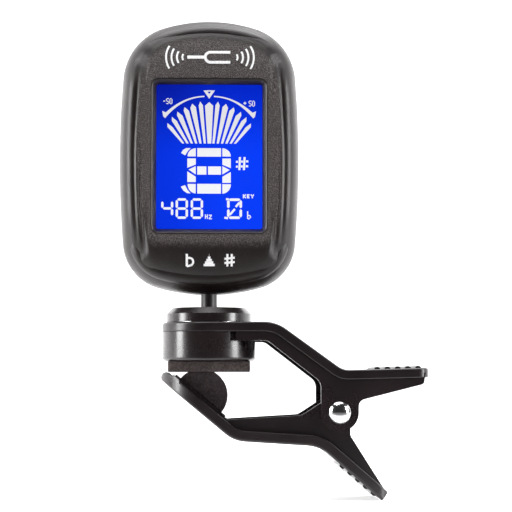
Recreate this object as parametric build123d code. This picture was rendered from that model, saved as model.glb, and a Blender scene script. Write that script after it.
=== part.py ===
from build123d import *
from math import atan2, cos, degrees, hypot, radians, sin, sqrt, tan
import os

# Clip-on tuner. Millimetres. The origin is on the swivel axis, on the lower face of the flat pad
# that meets the headstock. +Z runs up the swivel axis, +X towards the clip's handles, and the
# display faces -Y. The clip is at rest closed, with its two pads together.

# Fits
running_fit = 0.05          # radial, pin in a bore and ball in its seat
loose_fit = 0.15            # beside parts that only have to move past each other
assembly_gap = 0.1          # between stacked pieces inside the case
contact_gap = 0.05          # between pieces that press on each other

# Swivel stack, from the flat pad upwards
pad_height = 2.35
pad_half_length = 9.05
pad_half_width = 6.0
pad_corner = 0.6
cup_height = 6.45
disc_radius = 10.33
cup_wall = 1.3
cup_floor = 1.2
lever_plate = 2.1
collar_height = 3.1
collar_radius = 9.42
collar_chamfer = 1.3
hub_wall = 0.9
seat_wall = 1.3             # between the ball and the hub's pocket
seat_ring_height = 0.9
washer_gap = 0.7            # from the hub to the washer
washer_width = 1.8
washer_height = 0.35
circlip_width = 1.4
circlip_height = 0.5
piezo_radius = 8.0
piezo_height = 0.25
ceramic_radius = 5.5
ceramic_height = 0.2

# Ball stem
ball_radius = 3.0
stem_radius = 1.79
stem_exposed = 3.1
stem_bore = 0.65
stem_flange_radius = 3.1
stem_flange_height = 1.4
stem_grip = 2.6             # stem inside the case below its flange
tilt_limit = 20.0           # degrees either way
lead_radius = 0.4

# Head case
head_half_width = 20.0
head_height = 61.35
head_front_depth = 8.0      # from the parting plane forwards
head_rear_depth = 5.5       # from the parting plane backwards
side_bulge = 1.41
top_bulge = 5.43
bottom_bulge = 4.32
top_corner = 12.85
bottom_corner = 10.6
case_wall = 1.6
front_wall = 1.8
rear_wall = 1.4
front_edge = 2.6
rear_edge = 2.2
rim_width = 2.7
groove_width = 1.0
groove_depth = 0.6
parting_step = 0.2
wall_overlap = 0.2          # of bosses into the wall they stand on
boss_wall = 1.0             # round the stem's flange
cavity_edge = 1.1           # inner edge radius, front and rear
rear_cavity_edge = 0.9

# Display stack
window_width = 23.4
window_height = 32.1
window_bevel = 1.15
window_corner = 0.6
window_centre = 30.2       # above the case's lowest point
lens_margin = 1.5
lens_height = 0.8
lcd_margin = 1.3
lcd_ledge = 3.0             # contact ledge below the visible area
lcd_height = 1.8
guide_height = 1.6
frame_wall = 1.3
led_thickness = 0.8
led_length = 3.2
strip_length = 22.0
strip_width = 1.6

# Circuit board
board_height = 1.0
board_side_gap = 2.3
board_end_margin = 0.2
board_clearance = 0.3       # from the case's wall, all round
post_radius = 1.1           # rear case posts on the board
post_inset = 1.6            # from the board's side
post_from_end = 3.0         # from the display frame's ends
chip_width = 8.0
chip_length = 5.0
chip_height = 1.1
chip_gap = 1.0              # above the switches
chip_edge = 0.6
component_size = (2.0, 0.8, 1.25)
component_inset = 2.6       # from the board's side
component_offsets = (-9.0, -5.5, 5.5, 9.0)      # along Z from the cell's axis

# Coin cell and its cap
cell_radius = 10.0
cell_height = 3.2
cell_centre = 34.75         # above the case's lowest point
contact_strip = 0.3
contact_width = 6.0
cap_flange = 0.9
cap_ledge = 0.8
cap_hub_wall = 0.85
cell_clearance = 0.25       # radial, in the cap's hub
cell_to_cap = 0.8
cap_sink = 0.02             # cap face below the back
ledge_width = 0.9
lug_height = 0.5
lug_angle = 30.0
cap_turn = 45.0
coin_slot_length = 15.0
coin_slot_width = 2.0
coin_slot_depth = 0.5

# Buttons
button_radius = 2.4
button_pitch = 9.0
button_height = 14.2        # above the case's lowest point
button_travel = 0.4
button_recess = 0.15
button_flange = 0.7
button_flange_rim = 0.6
plunger_radius = 0.8
switch_size = 4.2
switch_height = 1.6

# Case screws
screw_radius = 0.85
screw_head_radius = 1.6
screw_head_height = 0.9
screw_length = 6.5
screw_recess = 0.4
screw_clearance = 0.1
boss_radius = 2.1
upper_screw_inset = (7.2, 8.35)     # from the case's side and top
lower_screw_inset = (6.8, 7.4)      # from the case's side and bottom

# Clip, side view
pin_x = 28.49
pin_z = -8.87
pin_radius = 1.5
pin_head_radius = 2.38
pin_head_height = 1.1
shoulder_x = 14.62
knee_past_pin = 0.71
knee_above_pin = 9.25
upper_handle_length = 18.8
upper_handle_rise = 0.5
shoulder_bend = 8.0
knee_bend = 4.0
clip_wall = 1.2
lever_rim = 0.43            # how far the plate stands out past the upper side walls
upper_wall_depth = 2.0
upper_handle_depth = 3.7
ear_radius = 4.1
handle_corner = 2.6
outer_rim_radius = 0.5
inner_rim_radius = 0.25
lower_plate = 2.3
lower_tip = (-10.9, -1.48)
lower_bend_1 = (5.41, -15.0)
lower_bend_2_before_pin = 4.52
lower_bend_2_under_pin = 7.31
lower_handle_length = 17.9
lower_handle_angle = 40.8
lower_bend_radius = 7.6
throat_run = 8.3            # from the pin back to the webs' low stretch
throat_height = 4.38        # of the webs above the lower plate
web_rise = 0.95
neck_width = 2.35
neck_length = 5.0
lower_boss_radius = 4.0
jaw_clearance = 0.55        # below the flat pad
nose_start = 1.0            # from the lower lever's tip back to its rounded nose
ridge_count = 5
ridge_pitch = 2.24
ridge_width = 1.3
ridge_height = 0.5
ridge_inset = 1.6

# Grip pad
carrier_height = 0.45
carrier_lift = 0.3
carrier_start = 2.35        # from the lower lever's tip, along its slope
carrier_length = 14.1
carrier_half_width = 7.9
grip_radius = 5.84
grip_half_width = 5.9

# Torsion spring
wire_radius = 0.55
coil_turns = 4
coil_pitch = 1.25
coil_clearance = 0.9        # between the pin and the coil
upper_leg_angle = 16.0      # above +X, seen from the front
lower_leg_angle = -57.0

# Worked-out levels
knee_x = pin_x + knee_past_pin
lower_bend_2 = (pin_x - lower_bend_2_before_pin, pin_z - lower_bend_2_under_pin)
seat_drop = ball_radius * 0.9           # seat's underside below the ball's centre
seat_rise = ball_radius * 0.55          # seat's top above the ball's centre
hub_radius = ball_radius + seat_wall + hub_wall
hub_depth = seat_drop + seat_ring_height
washer_inner = hub_radius + washer_gap
washer_outer = washer_inner + washer_width
cup_bottom = pad_height
plate_bottom = cup_bottom + cup_height
plate_top = plate_bottom + lever_plate
collar_bottom = plate_top + loose_fit
collar_top = collar_bottom + collar_height
ball_z = collar_bottom
head_bottom = collar_top + stem_exposed
head_top = head_bottom + head_height
window_z = head_bottom + window_centre
cell_z = head_bottom + cell_centre
button_z = head_bottom + button_height
front_y = -head_front_depth
rear_y = head_rear_depth
lens_front = front_y + front_wall
lens_back = lens_front + lens_height
lcd_front = lens_back + assembly_gap
lcd_back = lcd_front + lcd_height
guide_front = lcd_back + assembly_gap
guide_back = guide_front + guide_height
board_front = guide_back + 5 * assembly_gap
board_back = board_front + board_height
lcd_half_width = window_width / 2 + lcd_margin
lcd_bottom = window_z - window_height / 2 - lcd_ledge
lcd_top = window_z + window_height / 2 + lcd_margin
frame_half_width = lcd_half_width + assembly_gap + frame_wall
frame_bottom = lcd_bottom - assembly_gap - frame_wall
frame_top = lcd_top + assembly_gap + frame_wall
board_half_width = head_half_width - case_wall - board_side_gap
rear_inner = rear_y - rear_wall
cap_flange_y = rear_y - cap_flange
cap_ledge_y = cap_flange_y - assembly_gap - cap_ledge
cell_back = cap_flange_y - assembly_gap - cell_to_cap
cell_front = cell_back - cell_height
cap_hub_inner = cell_radius + cell_clearance
cap_hub_outer = cap_hub_inner + cap_hub_wall
cap_radius = cap_hub_outer + loose_fit + ledge_width
upper_wall_outer = disc_radius - lever_rim
upper_wall_inner = upper_wall_outer - clip_wall
lower_web_outer = upper_wall_inner - 0.25
lower_web_inner = lower_web_outer - clip_wall
coil_radius = pin_radius + coil_clearance + wire_radius


# Shared helpers
def slab(face, y_from, y_to):
    """Solid with the given X-Z side profile between two Y planes."""
    return extrude(Plane.XZ.offset(-y_to) * face, y_to - y_from)


def mirrored_slab(face, inner, outer):
    """The same side profile as a wall on both sides of the middle plane."""
    return slab(face, inner, outer) + slab(face, -outer, -inner)


def block(x_from, x_to, y_from, y_to, z_from, z_to):
    """Box between two corners."""
    centre = ((x_from + x_to) / 2, (y_from + y_to) / 2, (z_from + z_to) / 2)
    return Pos(*centre) * Box(x_to - x_from, y_to - y_from, z_to - z_from)


def rod_z(radius, z_from, z_to, x=0.0, y=0.0):
    """Upright cylinder."""
    return Pos(x, y, (z_from + z_to) / 2) * Cylinder(radius, z_to - z_from)


def rod_y(radius, y_from, y_to, x=0.0, z=0.0):
    """Cylinder along Y."""
    return Pos(x, (y_from + y_to) / 2, z) * Rot(90, 0, 0) * Cylinder(radius, y_to - y_from)


def turned(points):
    """Solid of revolution about the swivel axis from (radius, z) points."""
    return revolve(Plane.XZ * make_face(Polyline(*points, close=True)), Axis.Z)


def rounded_profile(points):
    """Closed side profile from (x, z, corner radius) points."""
    corners = [(x, z) for x, z, radius in points]
    radii = [radius for x, z, radius in points]
    return make_face(FilletPolyline(*corners, radius=radii, close=True))


def tube(points, radii, radius):
    """Round wire or lead along straight runs joined by arcs."""
    path = FilletPolyline(*points, radius=radii) if len(points) > 2 else Line(*points)
    return sweep(Plane(path @ 0, z_dir=path % 0) * Circle(radius), path=path)


def offset_points(points, distance):
    """The points moved to their right-hand side as one goes along them, with mitred corners."""
    moved = []
    for index, (x, z) in enumerate(points):
        before = points[max(index - 1, 0)]
        after = points[min(index + 1, len(points) - 1)]
        heading_in = atan2(z - before[1], x - before[0]) if index > 0 else None
        heading_out = atan2(after[1] - z, after[0] - x) if index < len(points) - 1 else None
        heading_in = heading_out if heading_in is None else heading_in
        heading_out = heading_in if heading_out is None else heading_out
        bisector = (heading_in + heading_out) / 2
        reach = distance / cos((heading_out - heading_in) / 2)
        moved.append((x + reach * sin(bisector), z - reach * cos(bisector)))
    return moved


def bent_plate(points, bends, thickness):
    """Side profile of an even plate that lies to the right of its face's points.

    A bend's radius is given at the face, and the other side gets the concentric one.
    """
    other = offset_points(points, thickness)
    other_bends = []
    for index, bend in enumerate(bends):
        x0, z0 = points[index]
        x1, z1 = points[index + 1]
        x2, z2 = points[index + 2]
        turn = (x1 - x0) * (z2 - z1) - (z1 - z0) * (x2 - x1)
        other_bends.append(bend - thickness if turn < 0 else bend + thickness)
    corners = [(x, z, r) for (x, z), r in zip(points, [0] + bends + [0])]
    corners += [(x, z, r) for (x, z), r in zip(reversed(other), [0] + other_bends[::-1] + [0])]
    return rounded_profile(corners)


def lever_plan(tip_x, tip_radius, end_x):
    """Plan of a lever: round at the pads, straight sides, rounded corners at the handle."""
    body = Pos((tip_x + end_x) / 2, 0) * Rectangle(end_x - tip_x, 2 * tip_radius)
    body = fillet(body.vertices().sort_by(Axis.X)[-2:], handle_corner)
    return Pos(tip_x, 0) * Circle(tip_radius) + body


def lever_blank(points, bends, thickness, plan, straight):
    """Bent plate cut to its plan, with both rims rounded.

    straight is the index of a straight stretch of the points, whose side edges are in both rims.
    """
    plate = slab(bent_plate(points, bends, thickness), -disc_radius, disc_radius)
    plate = plate & extrude(plan, 100, both=True)
    for depth, radius in ((0, outer_rim_radius), (thickness, inner_rim_radius)):
        (ax, az), (bx, bz) = offset_points(points, depth)[straight:straight + 2]
        length = hypot(bx - ax, bz - az)
        edges = plate.edges().filter_by(GeomType.LINE).filter_by(
            lambda edge: abs(abs(edge.center().Y) - disc_radius) < 0.01 and edge.length > 3
            and hypot(edge.center().X - (ax + bx) / 2, edge.center().Z - (az + bz) / 2) < length / 2
            and abs((edge.center().X - ax) * (bz - az) - (edge.center().Z - az) * (bx - ax)) < 0.01 * length)
        plate = fillet(edges, radius)
    return plate


# Clip: upper lever and its sensor housing
def upper_face_points():
    """Top face of the upper lever: over the disc, down the slope, along the handle."""
    knee = (knee_x, pin_z + knee_above_pin)
    end = (knee_x + upper_handle_length, knee[1] + upper_handle_rise)
    return [(-disc_radius, plate_top), (shoulder_x, plate_top), knee, end]


def upper_wall_profile():
    """Side wall of the upper lever, with the pivot ear."""
    tip, shoulder, knee, end = offset_points(upper_face_points(), lever_plate / 2)
    wall_start = sqrt((disc_radius + loose_fit) ** 2 - upper_wall_inner ** 2)
    slope = (shoulder[1] - knee[1]) / (knee[0] - shoulder[0])
    step_x = shoulder[0] - 1.55
    bottom = plate_bottom - upper_wall_depth
    throat_x = pin_x - ear_radius
    throat_z = bottom - slope * (throat_x - step_x) - 0.6
    back_x = pin_x + ear_radius
    handle_z = knee[1] - upper_handle_depth
    wall = rounded_profile([
        (wall_start, shoulder[1], 0),
        (wall_start, bottom, 0.4),
        (step_x, bottom, 2.0),
        (throat_x, throat_z, 2.6),
        (throat_x, pin_z, 0),
        (back_x, pin_z, 0),
        (back_x, handle_z - 1.9, 1.6),
        (end[0] - 1.2, end[1] - upper_handle_depth + 1.2, 0.8),
        (end[0] - 0.8, end[1], 0),
        (knee[0], knee[1], 0),
        (shoulder[0], shoulder[1], 0),
    ])
    return wall + Pos(pin_x, pin_z) * Circle(ear_radius)


def upper_jaw():
    """Upper lever: plate, side walls with pivot ears, handle end wall and thumb ridges."""
    points = upper_face_points()
    plan = lever_plan(0, disc_radius, points[-1][0])
    plate = lever_blank(points, [shoulder_bend, knee_bend], lever_plate, plan, 1)
    walls = mirrored_slab(upper_wall_profile(), upper_wall_inner, upper_wall_outer)
    end_x, end_z = points[-1]
    end_wall = block(end_x - 2.6, end_x - 1.4, -upper_wall_inner, upper_wall_inner,
                     end_z - 3.2, end_z - lever_plate / 2)
    bore = rod_z(hub_radius + loose_fit, plate_bottom - 1, plate_top + 1)
    pin_bore = rod_y(pin_radius, -disc_radius, disc_radius, pin_x, pin_z)
    body = plate + walls + end_wall + handle_ridges(points[-2], points[-1])
    return body - bore - pin_bore


def handle_ridges(start, end):
    """Half-round cross ridges near the handle's end."""
    length = hypot(end[0] - start[0], end[1] - start[1])
    angle = degrees(atan2(end[1] - start[1], end[0] - start[0]))
    half_width = disc_radius - ridge_inset
    ridges = []
    for index in range(ridge_count):
        along = length - 2.3 - index * ridge_pitch
        ridge = Rot(90, 0, 0) * extrude(Ellipse(ridge_width / 2, ridge_height), half_width, both=True)
        ridges.append(Pos(start[0], 0, start[1]) * Rot(0, -angle, 0) * Pos(along, 0, 0) * ridge)
    return ridges


def sensor_cup():
    """Round housing of the vibration sensor, open under the lever's plate."""
    inner = disc_radius - cup_wall
    floor = cup_bottom + cup_floor
    cup = turned([(0, cup_bottom), (disc_radius, cup_bottom), (disc_radius, plate_bottom),
                  (inner, plate_bottom), (inner, floor), (0, floor)])
    edge = cup.edges().filter_by(GeomType.CIRCLE).group_by(Axis.Z)[0]
    return fillet(edge, 0.8)


def headstock_pad():
    """Flat rubber pad under the sensor housing."""
    pad = block(-pad_half_length, pad_half_length, -pad_half_width, pad_half_width, 0, pad_height)
    return chamfer(pad.edges().filter_by(Axis.Z), pad_corner)


def piezo_plate():
    """Brass disc bonded to the cup's floor."""
    floor = cup_bottom + cup_floor
    return rod_z(piezo_radius, floor, floor + piezo_height)


def piezo_ceramic():
    """Piezo ceramic on the brass disc."""
    bottom = cup_bottom + cup_floor + piezo_height
    return rod_z(ceramic_radius, bottom, bottom + ceramic_height)


def sensor_lead():
    """Lead from the ceramic up to the underside of the ball."""
    bottom = cup_bottom + cup_floor + piezo_height + ceramic_height + lead_radius
    top = ball_z - ball_radius - assembly_gap
    points = [(3.6, 0, bottom), (0.9, 0, bottom + 0.35), (0, 0, bottom + 1.6), (0, 0, top)]
    return tube(points, [1.2, 1.2], lead_radius)


def friction_washer():
    """Flat friction washer between the lever and the collar."""
    return rod_z(washer_outer, plate_top, plate_top + washer_height) - rod_z(
        washer_inner, plate_top - 1, plate_top + 1)


# Clip: pivot and spring
def pivot_pin():
    """Rivet: shank and domed head on the display side."""
    shank = rod_y(pin_radius, -upper_wall_outer, upper_wall_outer + 0.6, pin_x, pin_z)
    return shank + domed_head(-1)


def domed_head(side):
    """Domed button against the outer face of an ear."""
    sphere_radius = (pin_head_radius ** 2 + pin_head_height ** 2) / (2 * pin_head_height)
    face = upper_wall_outer
    centre = face + pin_head_height - sphere_radius
    dome = Pos(pin_x, side * centre, pin_z) * Sphere(sphere_radius)
    keep = rod_y(pin_head_radius + 1, face, face + pin_head_height + 1, pin_x, pin_z)
    if side < 0:
        keep = rod_y(pin_head_radius + 1, -face - pin_head_height - 1, -face, pin_x, pin_z)
    return dome & keep


def pin_cap():
    """Pressed cap on the rivet's far end."""
    return domed_head(1) - rod_y(pin_radius, upper_wall_outer - 1, upper_wall_outer + 0.6, pin_x, pin_z)


def leg_reach(start, angle, face, gap):
    """Length of a leg from its start to where it is a gap away from a plate's face."""
    (ax, az), (bx, bz) = face
    length = hypot(bx - ax, bz - az)
    normal = (-(bz - az) / length, (bx - ax) / length)
    distance = (start[0] - ax) * normal[0] + (start[1] - az) * normal[1]
    closing = cos(radians(angle)) * normal[0] + sin(radians(angle)) * normal[1]
    return (abs(distance) - gap) / abs(closing)


def torsion_spring():
    """Coil on the pin, with one leg under the upper handle and one on the lower handle."""
    start_angle = upper_leg_angle + 90
    end_angle = lower_leg_angle - 90 + 360
    turns = coil_turns + (end_angle - start_angle) / 360
    length = turns * coil_pitch
    helix = Helix(coil_pitch, length, coil_radius)
    coil = sweep(Plane(helix @ 0, z_dir=helix % 0) * Circle(wire_radius), path=helix, is_frenet=True)
    upper_start = (pin_x + coil_radius * cos(radians(start_angle)),
                   pin_z + coil_radius * sin(radians(start_angle)))
    lower_start = (pin_x + coil_radius * cos(radians(end_angle)),
                   pin_z + coil_radius * sin(radians(end_angle)))
    upper_face = offset_points(upper_face_points(), lever_plate)[2:]
    lower_face = offset_points(lower_face_points(), lower_plate)[:2]
    gap = wire_radius + contact_gap
    upper_leg = leg_reach(upper_start, upper_leg_angle, upper_face, gap)
    lower_leg = leg_reach(lower_start, lower_leg_angle, lower_face, gap)
    coil += extrude(Plane(helix @ 0, z_dir=helix % 0) * Circle(wire_radius), -upper_leg)
    coil += extrude(Plane(helix @ 1, z_dir=helix % 1) * Circle(wire_radius), lower_leg)
    return Pos(pin_x, 0, pin_z) * Rot(90, 0, 0) * Rot(0, 0, start_angle) * Pos(0, 0, -length / 2) * coil


# Clip: lower lever
def lower_face_points():
    """Outer face of the lower lever, from the handle's end back to the tip."""
    run = lower_handle_length
    angle = radians(lower_handle_angle)
    end = (lower_bend_2[0] + run * cos(angle), lower_bend_2[1] - run * sin(angle))
    return [end, lower_bend_2, lower_bend_1, lower_tip]


def on_jaw(along, height):
    """Point over the lower lever's inner face, measured from its tip along its slope."""
    face = offset_points(lower_face_points(), lower_plate)
    tip, bend = face[3], face[2]
    angle = atan2(bend[1] - tip[1], bend[0] - tip[0])
    return (tip[0] + along * cos(angle) - height * sin(angle),
            tip[1] + along * sin(angle) + height * cos(angle))


def lower_web_profile():
    """Side web of the lower lever, with the pivot boss."""
    end, bend_2, bend_1, tip = offset_points(lower_face_points(), lower_plate / 2)
    rim_start = on_jaw(0.6, carrier_lift)
    rim_end = on_jaw(carrier_start + carrier_length + 0.3, carrier_lift)
    throat = (pin_x - throat_run, lower_bend_2[1] + lower_plate + throat_height)
    neck_x = pin_x + neck_width
    return rounded_profile([
        (tip[0] + 0.6, tip[1] - 0.5, 0),
        (rim_start[0], rim_start[1], 0),
        (rim_end[0], rim_end[1], 0.3),
        (rim_end[0] + 0.5, throat[1] - web_rise, 0.2),
        (throat[0], throat[1], 2.5),
        (pin_x - lower_boss_radius * 0.6428, pin_z + lower_boss_radius * 0.766, 0),
        (pin_x, pin_z, 0),
        (neck_x, pin_z, 0),
        (neck_x, pin_z - neck_length, 1.5),
        (end[0] + 0.6, end[1] + 0.5, 0),
        (bend_2[0], bend_2[1], 0),
        (bend_1[0], bend_1[1], 0),
    ]) + Pos(pin_x, pin_z) * Circle(lower_boss_radius)


def lower_jaw():
    """Lower lever: plate, side webs with pivot bosses, and finger ridges."""
    points = lower_face_points()
    tip_centre = lower_tip[0] + disc_radius
    past_tip = (2 * lower_tip[0] - lower_bend_1[0], 2 * lower_tip[1] - lower_bend_1[1])
    end_x = offset_points(points, lower_plate)[0][0]
    plate = lever_blank(points[:3] + [past_tip], [lower_bend_radius, lower_bend_radius], lower_plate,
                        lever_plan(tip_centre, disc_radius, end_x), 1)
    webs = mirrored_slab(lower_web_profile(), lower_web_inner, lower_web_outer)
    webs = webs & extrude(lever_plan(tip_centre, disc_radius, end_x + 9), 100, both=True)
    webs -= block(-60, pin_x - lower_boss_radius - 8, -30, 30, -jaw_clearance, 60)
    body = (plate - beyond_nose()) + (webs - beyond_nose()) + handle_ridges(points[1], points[0])
    return body - rod_y(pin_radius + running_fit, -30, 30, pin_x, pin_z)


def beyond_nose():
    """Everything past the plate's rounded nose, which sits just clear of the flat pad's end."""
    radius = lower_plate / 2
    centre = on_jaw(nose_start, -radius)
    strip = make_face(Polyline(on_jaw(nose_start, 2 * radius), on_jaw(nose_start, -4 * radius),
                               on_jaw(nose_start - 9, -4 * radius), on_jaw(nose_start - 9, 2 * radius),
                               close=True))
    return slab(strip - Pos(*centre) * Circle(radius), -disc_radius - 1, disc_radius + 1)


def pad_carrier():
    """Thin backing strip of the grip pad, on the lower lever's side rims."""
    start = on_jaw(carrier_start, carrier_lift)
    end = on_jaw(carrier_start + carrier_length, carrier_lift)
    end_top = on_jaw(carrier_start + carrier_length, carrier_lift + carrier_height)
    start_top = on_jaw(carrier_start, carrier_lift + carrier_height)
    return slab(make_face(Polyline(start, end, end_top, start_top, close=True)),
                -carrier_half_width, carrier_half_width)


def grip_pad():
    """Half-round rubber pad, pressed flat where it meets the upper pad."""
    centre = on_jaw(carrier_start + carrier_length / 2, carrier_lift + carrier_height)
    start = on_jaw(carrier_start + carrier_length / 2 - grip_radius, carrier_lift + carrier_height)
    end = on_jaw(carrier_start + carrier_length / 2 + grip_radius, carrier_lift + carrier_height)
    crown = on_jaw(carrier_start + carrier_length / 2, carrier_lift + carrier_height + grip_radius)
    profile = make_face(Wire([Line(start, end).edge(), ThreePointArc(end, crown, start).edge()]))
    pad = slab(profile, -grip_half_width, grip_half_width)
    pressed = block(centre[0] - 20, centre[0] + 20, -20, 20, -contact_gap, 20)
    return pad - pressed


# Swivel and ball joint
def stem_mouth(height, margin):
    """Radius that clears the tilted stem at a height above the ball's centre, and the ball itself."""
    tilt = radians(tilt_limit)
    stem_sweep = stem_radius / cos(tilt) + tan(tilt) * height + margin
    ball_there = sqrt(max(ball_radius ** 2 - height ** 2, 0)) + running_fit
    return max(stem_sweep, ball_there)


def swivel_collar():
    """Collar with a hub through the lever's plate; the ball sits in its pocket."""
    pocket = hub_radius - hub_wall
    hub_bottom = collar_bottom - hub_depth
    seat_top = ball_z + seat_rise
    mouth_low = stem_mouth(seat_rise, assembly_gap)
    mouth_high = stem_mouth(collar_height, 2 * assembly_gap)
    groove_top = plate_bottom - 0.3
    groove_bottom = groove_top - circlip_height
    groove_radius = hub_radius - 0.4
    recess_top = plate_top + washer_height + assembly_gap
    return turned([
        (pocket, hub_bottom), (hub_radius, hub_bottom), (hub_radius, groove_bottom),
        (groove_radius, groove_bottom), (groove_radius, groove_top), (hub_radius, groove_top),
        (hub_radius, recess_top), (washer_outer + loose_fit, recess_top),
        (washer_outer + loose_fit, collar_bottom), (collar_radius, collar_bottom),
        (collar_radius, collar_top - collar_chamfer), (collar_radius - collar_chamfer, collar_top),
        (mouth_high, collar_top), (mouth_low, seat_top), (pocket, seat_top)])


def seat_half(z_from, z_to):
    """One half of the ball's plastic seat."""
    ring = rod_z(hub_radius - hub_wall, z_from, z_to)
    socket = Pos(0, 0, ball_z) * Sphere(ball_radius + running_fit)
    return ring - socket


def seat_upper():
    """Upper half of the ball seat, open around the stem."""
    top = ball_z + seat_rise
    return seat_half(ball_z + contact_gap, top) - rod_z(stem_mouth(seat_rise, assembly_gap), ball_z, top + 1)


def seat_lower():
    """Lower half of the ball seat, open for the lead."""
    bottom = ball_z - seat_drop
    return seat_half(bottom, ball_z - contact_gap) - rod_z(lead_radius * 4, bottom - 1, ball_z)


def seat_ring():
    """Threaded ring that holds the ball seat in the hub."""
    bottom = collar_bottom - hub_depth
    top = ball_z - seat_drop
    return rod_z(hub_radius - hub_wall, bottom, top) - rod_z(lead_radius * 5, bottom - 1, top + 1)


def swivel_clip():
    """Spring clip in the hub's groove, under the lever's plate."""
    top = plate_bottom - 0.3
    inner = hub_radius - 0.4
    ring = rod_z(inner + circlip_width, top - circlip_height, top) - rod_z(inner, top - 2, top + 1)
    return ring - block(0, 20, -2.2, 2.2, top - 2, top + 1)


def ball_stem():
    """Ball, hollow stem and the flange that the case halves close on."""
    flange_bottom = head_bottom + stem_grip
    flange_top = flange_bottom + stem_flange_height
    stem = rod_z(stem_radius, ball_z, flange_top + 1.2)
    body = Pos(0, 0, ball_z) * Sphere(ball_radius) + stem
    body += rod_z(stem_flange_radius, flange_bottom, flange_top)
    bell = Pos(0, 0, ball_z - ball_radius) * Cone(stem_bore + 1.0, stem_bore, 2.4)
    return body - rod_z(stem_bore, ball_z - 9, flange_top + 9) - bell


def stem_lead():
    """Lead from the ball's underside up the stem to the circuit board."""
    bottom = ball_z - ball_radius + 1.0
    rise = board_back + lead_radius + assembly_gap
    top = button_z - switch_size / 2 - 0.6
    points = [(0, 0, bottom), (0, 0, head_bottom + 6.4), (0, rise, head_bottom + 9.4), (0, rise, top)]
    return tube(points, [6.0, 6.0], lead_radius)


# Head case
def arc_radius(chord, bulge):
    """Radius of the arc that stands out by bulge over its chord."""
    return (chord ** 2 / 4 + bulge ** 2) / (2 * bulge)


def head_outline(inset=0.0):
    """Front view of the case, moved inwards by inset: four shallow arcs with rounded corners."""
    side = head_half_width - side_bulge
    low = head_bottom + bottom_bulge
    high = head_top - top_bulge
    side_radius = arc_radius(high - low, side_bulge)
    top_radius = arc_radius(2 * side, top_bulge)
    bottom_radius = arc_radius(2 * side, bottom_bulge)
    middle = (low + high) / 2
    left = Pos(side_radius - head_half_width, middle) * Circle(side_radius - inset)
    right = Pos(head_half_width - side_radius, middle) * Circle(side_radius - inset)
    top = Pos(0, head_top - top_radius) * Circle(top_radius - inset)
    bottom = Pos(0, head_bottom + bottom_radius) * Circle(bottom_radius - inset)
    face = left & right & top & bottom
    face = fillet(face.vertices().sort_by(Axis.Y)[-2:], top_corner - inset)
    return fillet(face.vertices().sort_by(Axis.Y)[:2], bottom_corner - inset)


def window_box(extra, depth_from, depth_to, corner):
    """Rounded block over the window's opening, larger by extra all round."""
    face = Pos(0, window_z) * RectangleRounded(window_width + 2 * extra, window_height + 2 * extra, corner)
    return slab(face, depth_from, depth_to)


def window_opening():
    """Bevelled opening over the display."""
    inner = Pos(0, window_z) * RectangleRounded(window_width, window_height, window_corner)
    outer = Pos(0, window_z) * RectangleRounded(
        window_width + 2 * window_bevel, window_height + 2 * window_bevel, window_corner + window_bevel)
    bevel = loft([Plane.XZ.offset(-lens_front) * inner, Plane.XZ.offset(-front_y) * outer])
    return bevel + slab(outer, front_y - 1, front_y) + slab(inner, lens_front - 0.05, lens_front + 1)


def screw_places():
    """The four screw axes, in X and Z."""
    places = []
    upper_x, upper_drop = upper_screw_inset
    lower_x, lower_rise = lower_screw_inset
    for side in (1, -1):
        places.append((side * (head_half_width - upper_x), head_top - upper_drop))
        places.append((side * (head_half_width - lower_x), head_bottom + lower_rise))
    return places


def stem_cavity():
    """Room in the case halves for the stem and its flange."""
    flange_bottom = head_bottom + stem_grip
    flange_top = flange_bottom + stem_flange_height
    room = rod_z(stem_radius + running_fit, head_bottom - 5, flange_top + 9)
    return room + rod_z(stem_flange_radius + running_fit, flange_bottom - running_fit, flange_top + running_fit)


def stem_boss(y_from, y_to):
    """Half of the block that grips the stem."""
    half = stem_flange_radius + boss_wall
    top = head_bottom + stem_grip + stem_flange_height + boss_wall
    return block(-half, half, y_from, y_to, head_bottom - 1, top)


def front_case():
    """Front half of the case, with the display window."""
    outer = slab(head_outline(), front_y, 0)
    outer = fillet(outer.edges().group_by(Axis.Y)[0], front_edge)
    cavity = slab(head_outline(case_wall), lens_front, 1)
    cavity = fillet(cavity.edges().group_by(Axis.Y)[0], cavity_edge)
    shell = outer - cavity
    inner_parts = stem_boss(-stem_flange_radius - boss_wall, 0)
    for x, z in screw_places():
        inner_parts += rod_y(boss_radius, front_y + 1, 0, x, z)
    shell += inner_parts & outer
    groove = head_outline(rim_width) - head_outline(rim_width + groove_width)
    shell -= slab(groove, front_y - 1, front_y + groove_depth)
    shell -= window_opening()
    shell -= stem_cavity()
    for x, z in screw_places():
        shell -= rod_y(screw_radius, -screw_length + screw_head_height + rear_y - screw_recess, 1, x, z)
    return shell - parting_groove(-1)


def parting_groove(side):
    """Fine step around the case where its halves meet."""
    band = head_outline(-1.0) - head_outline(parting_step)
    return slab(band, -parting_step, 0) if side < 0 else slab(band, 0, parting_step)


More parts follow.
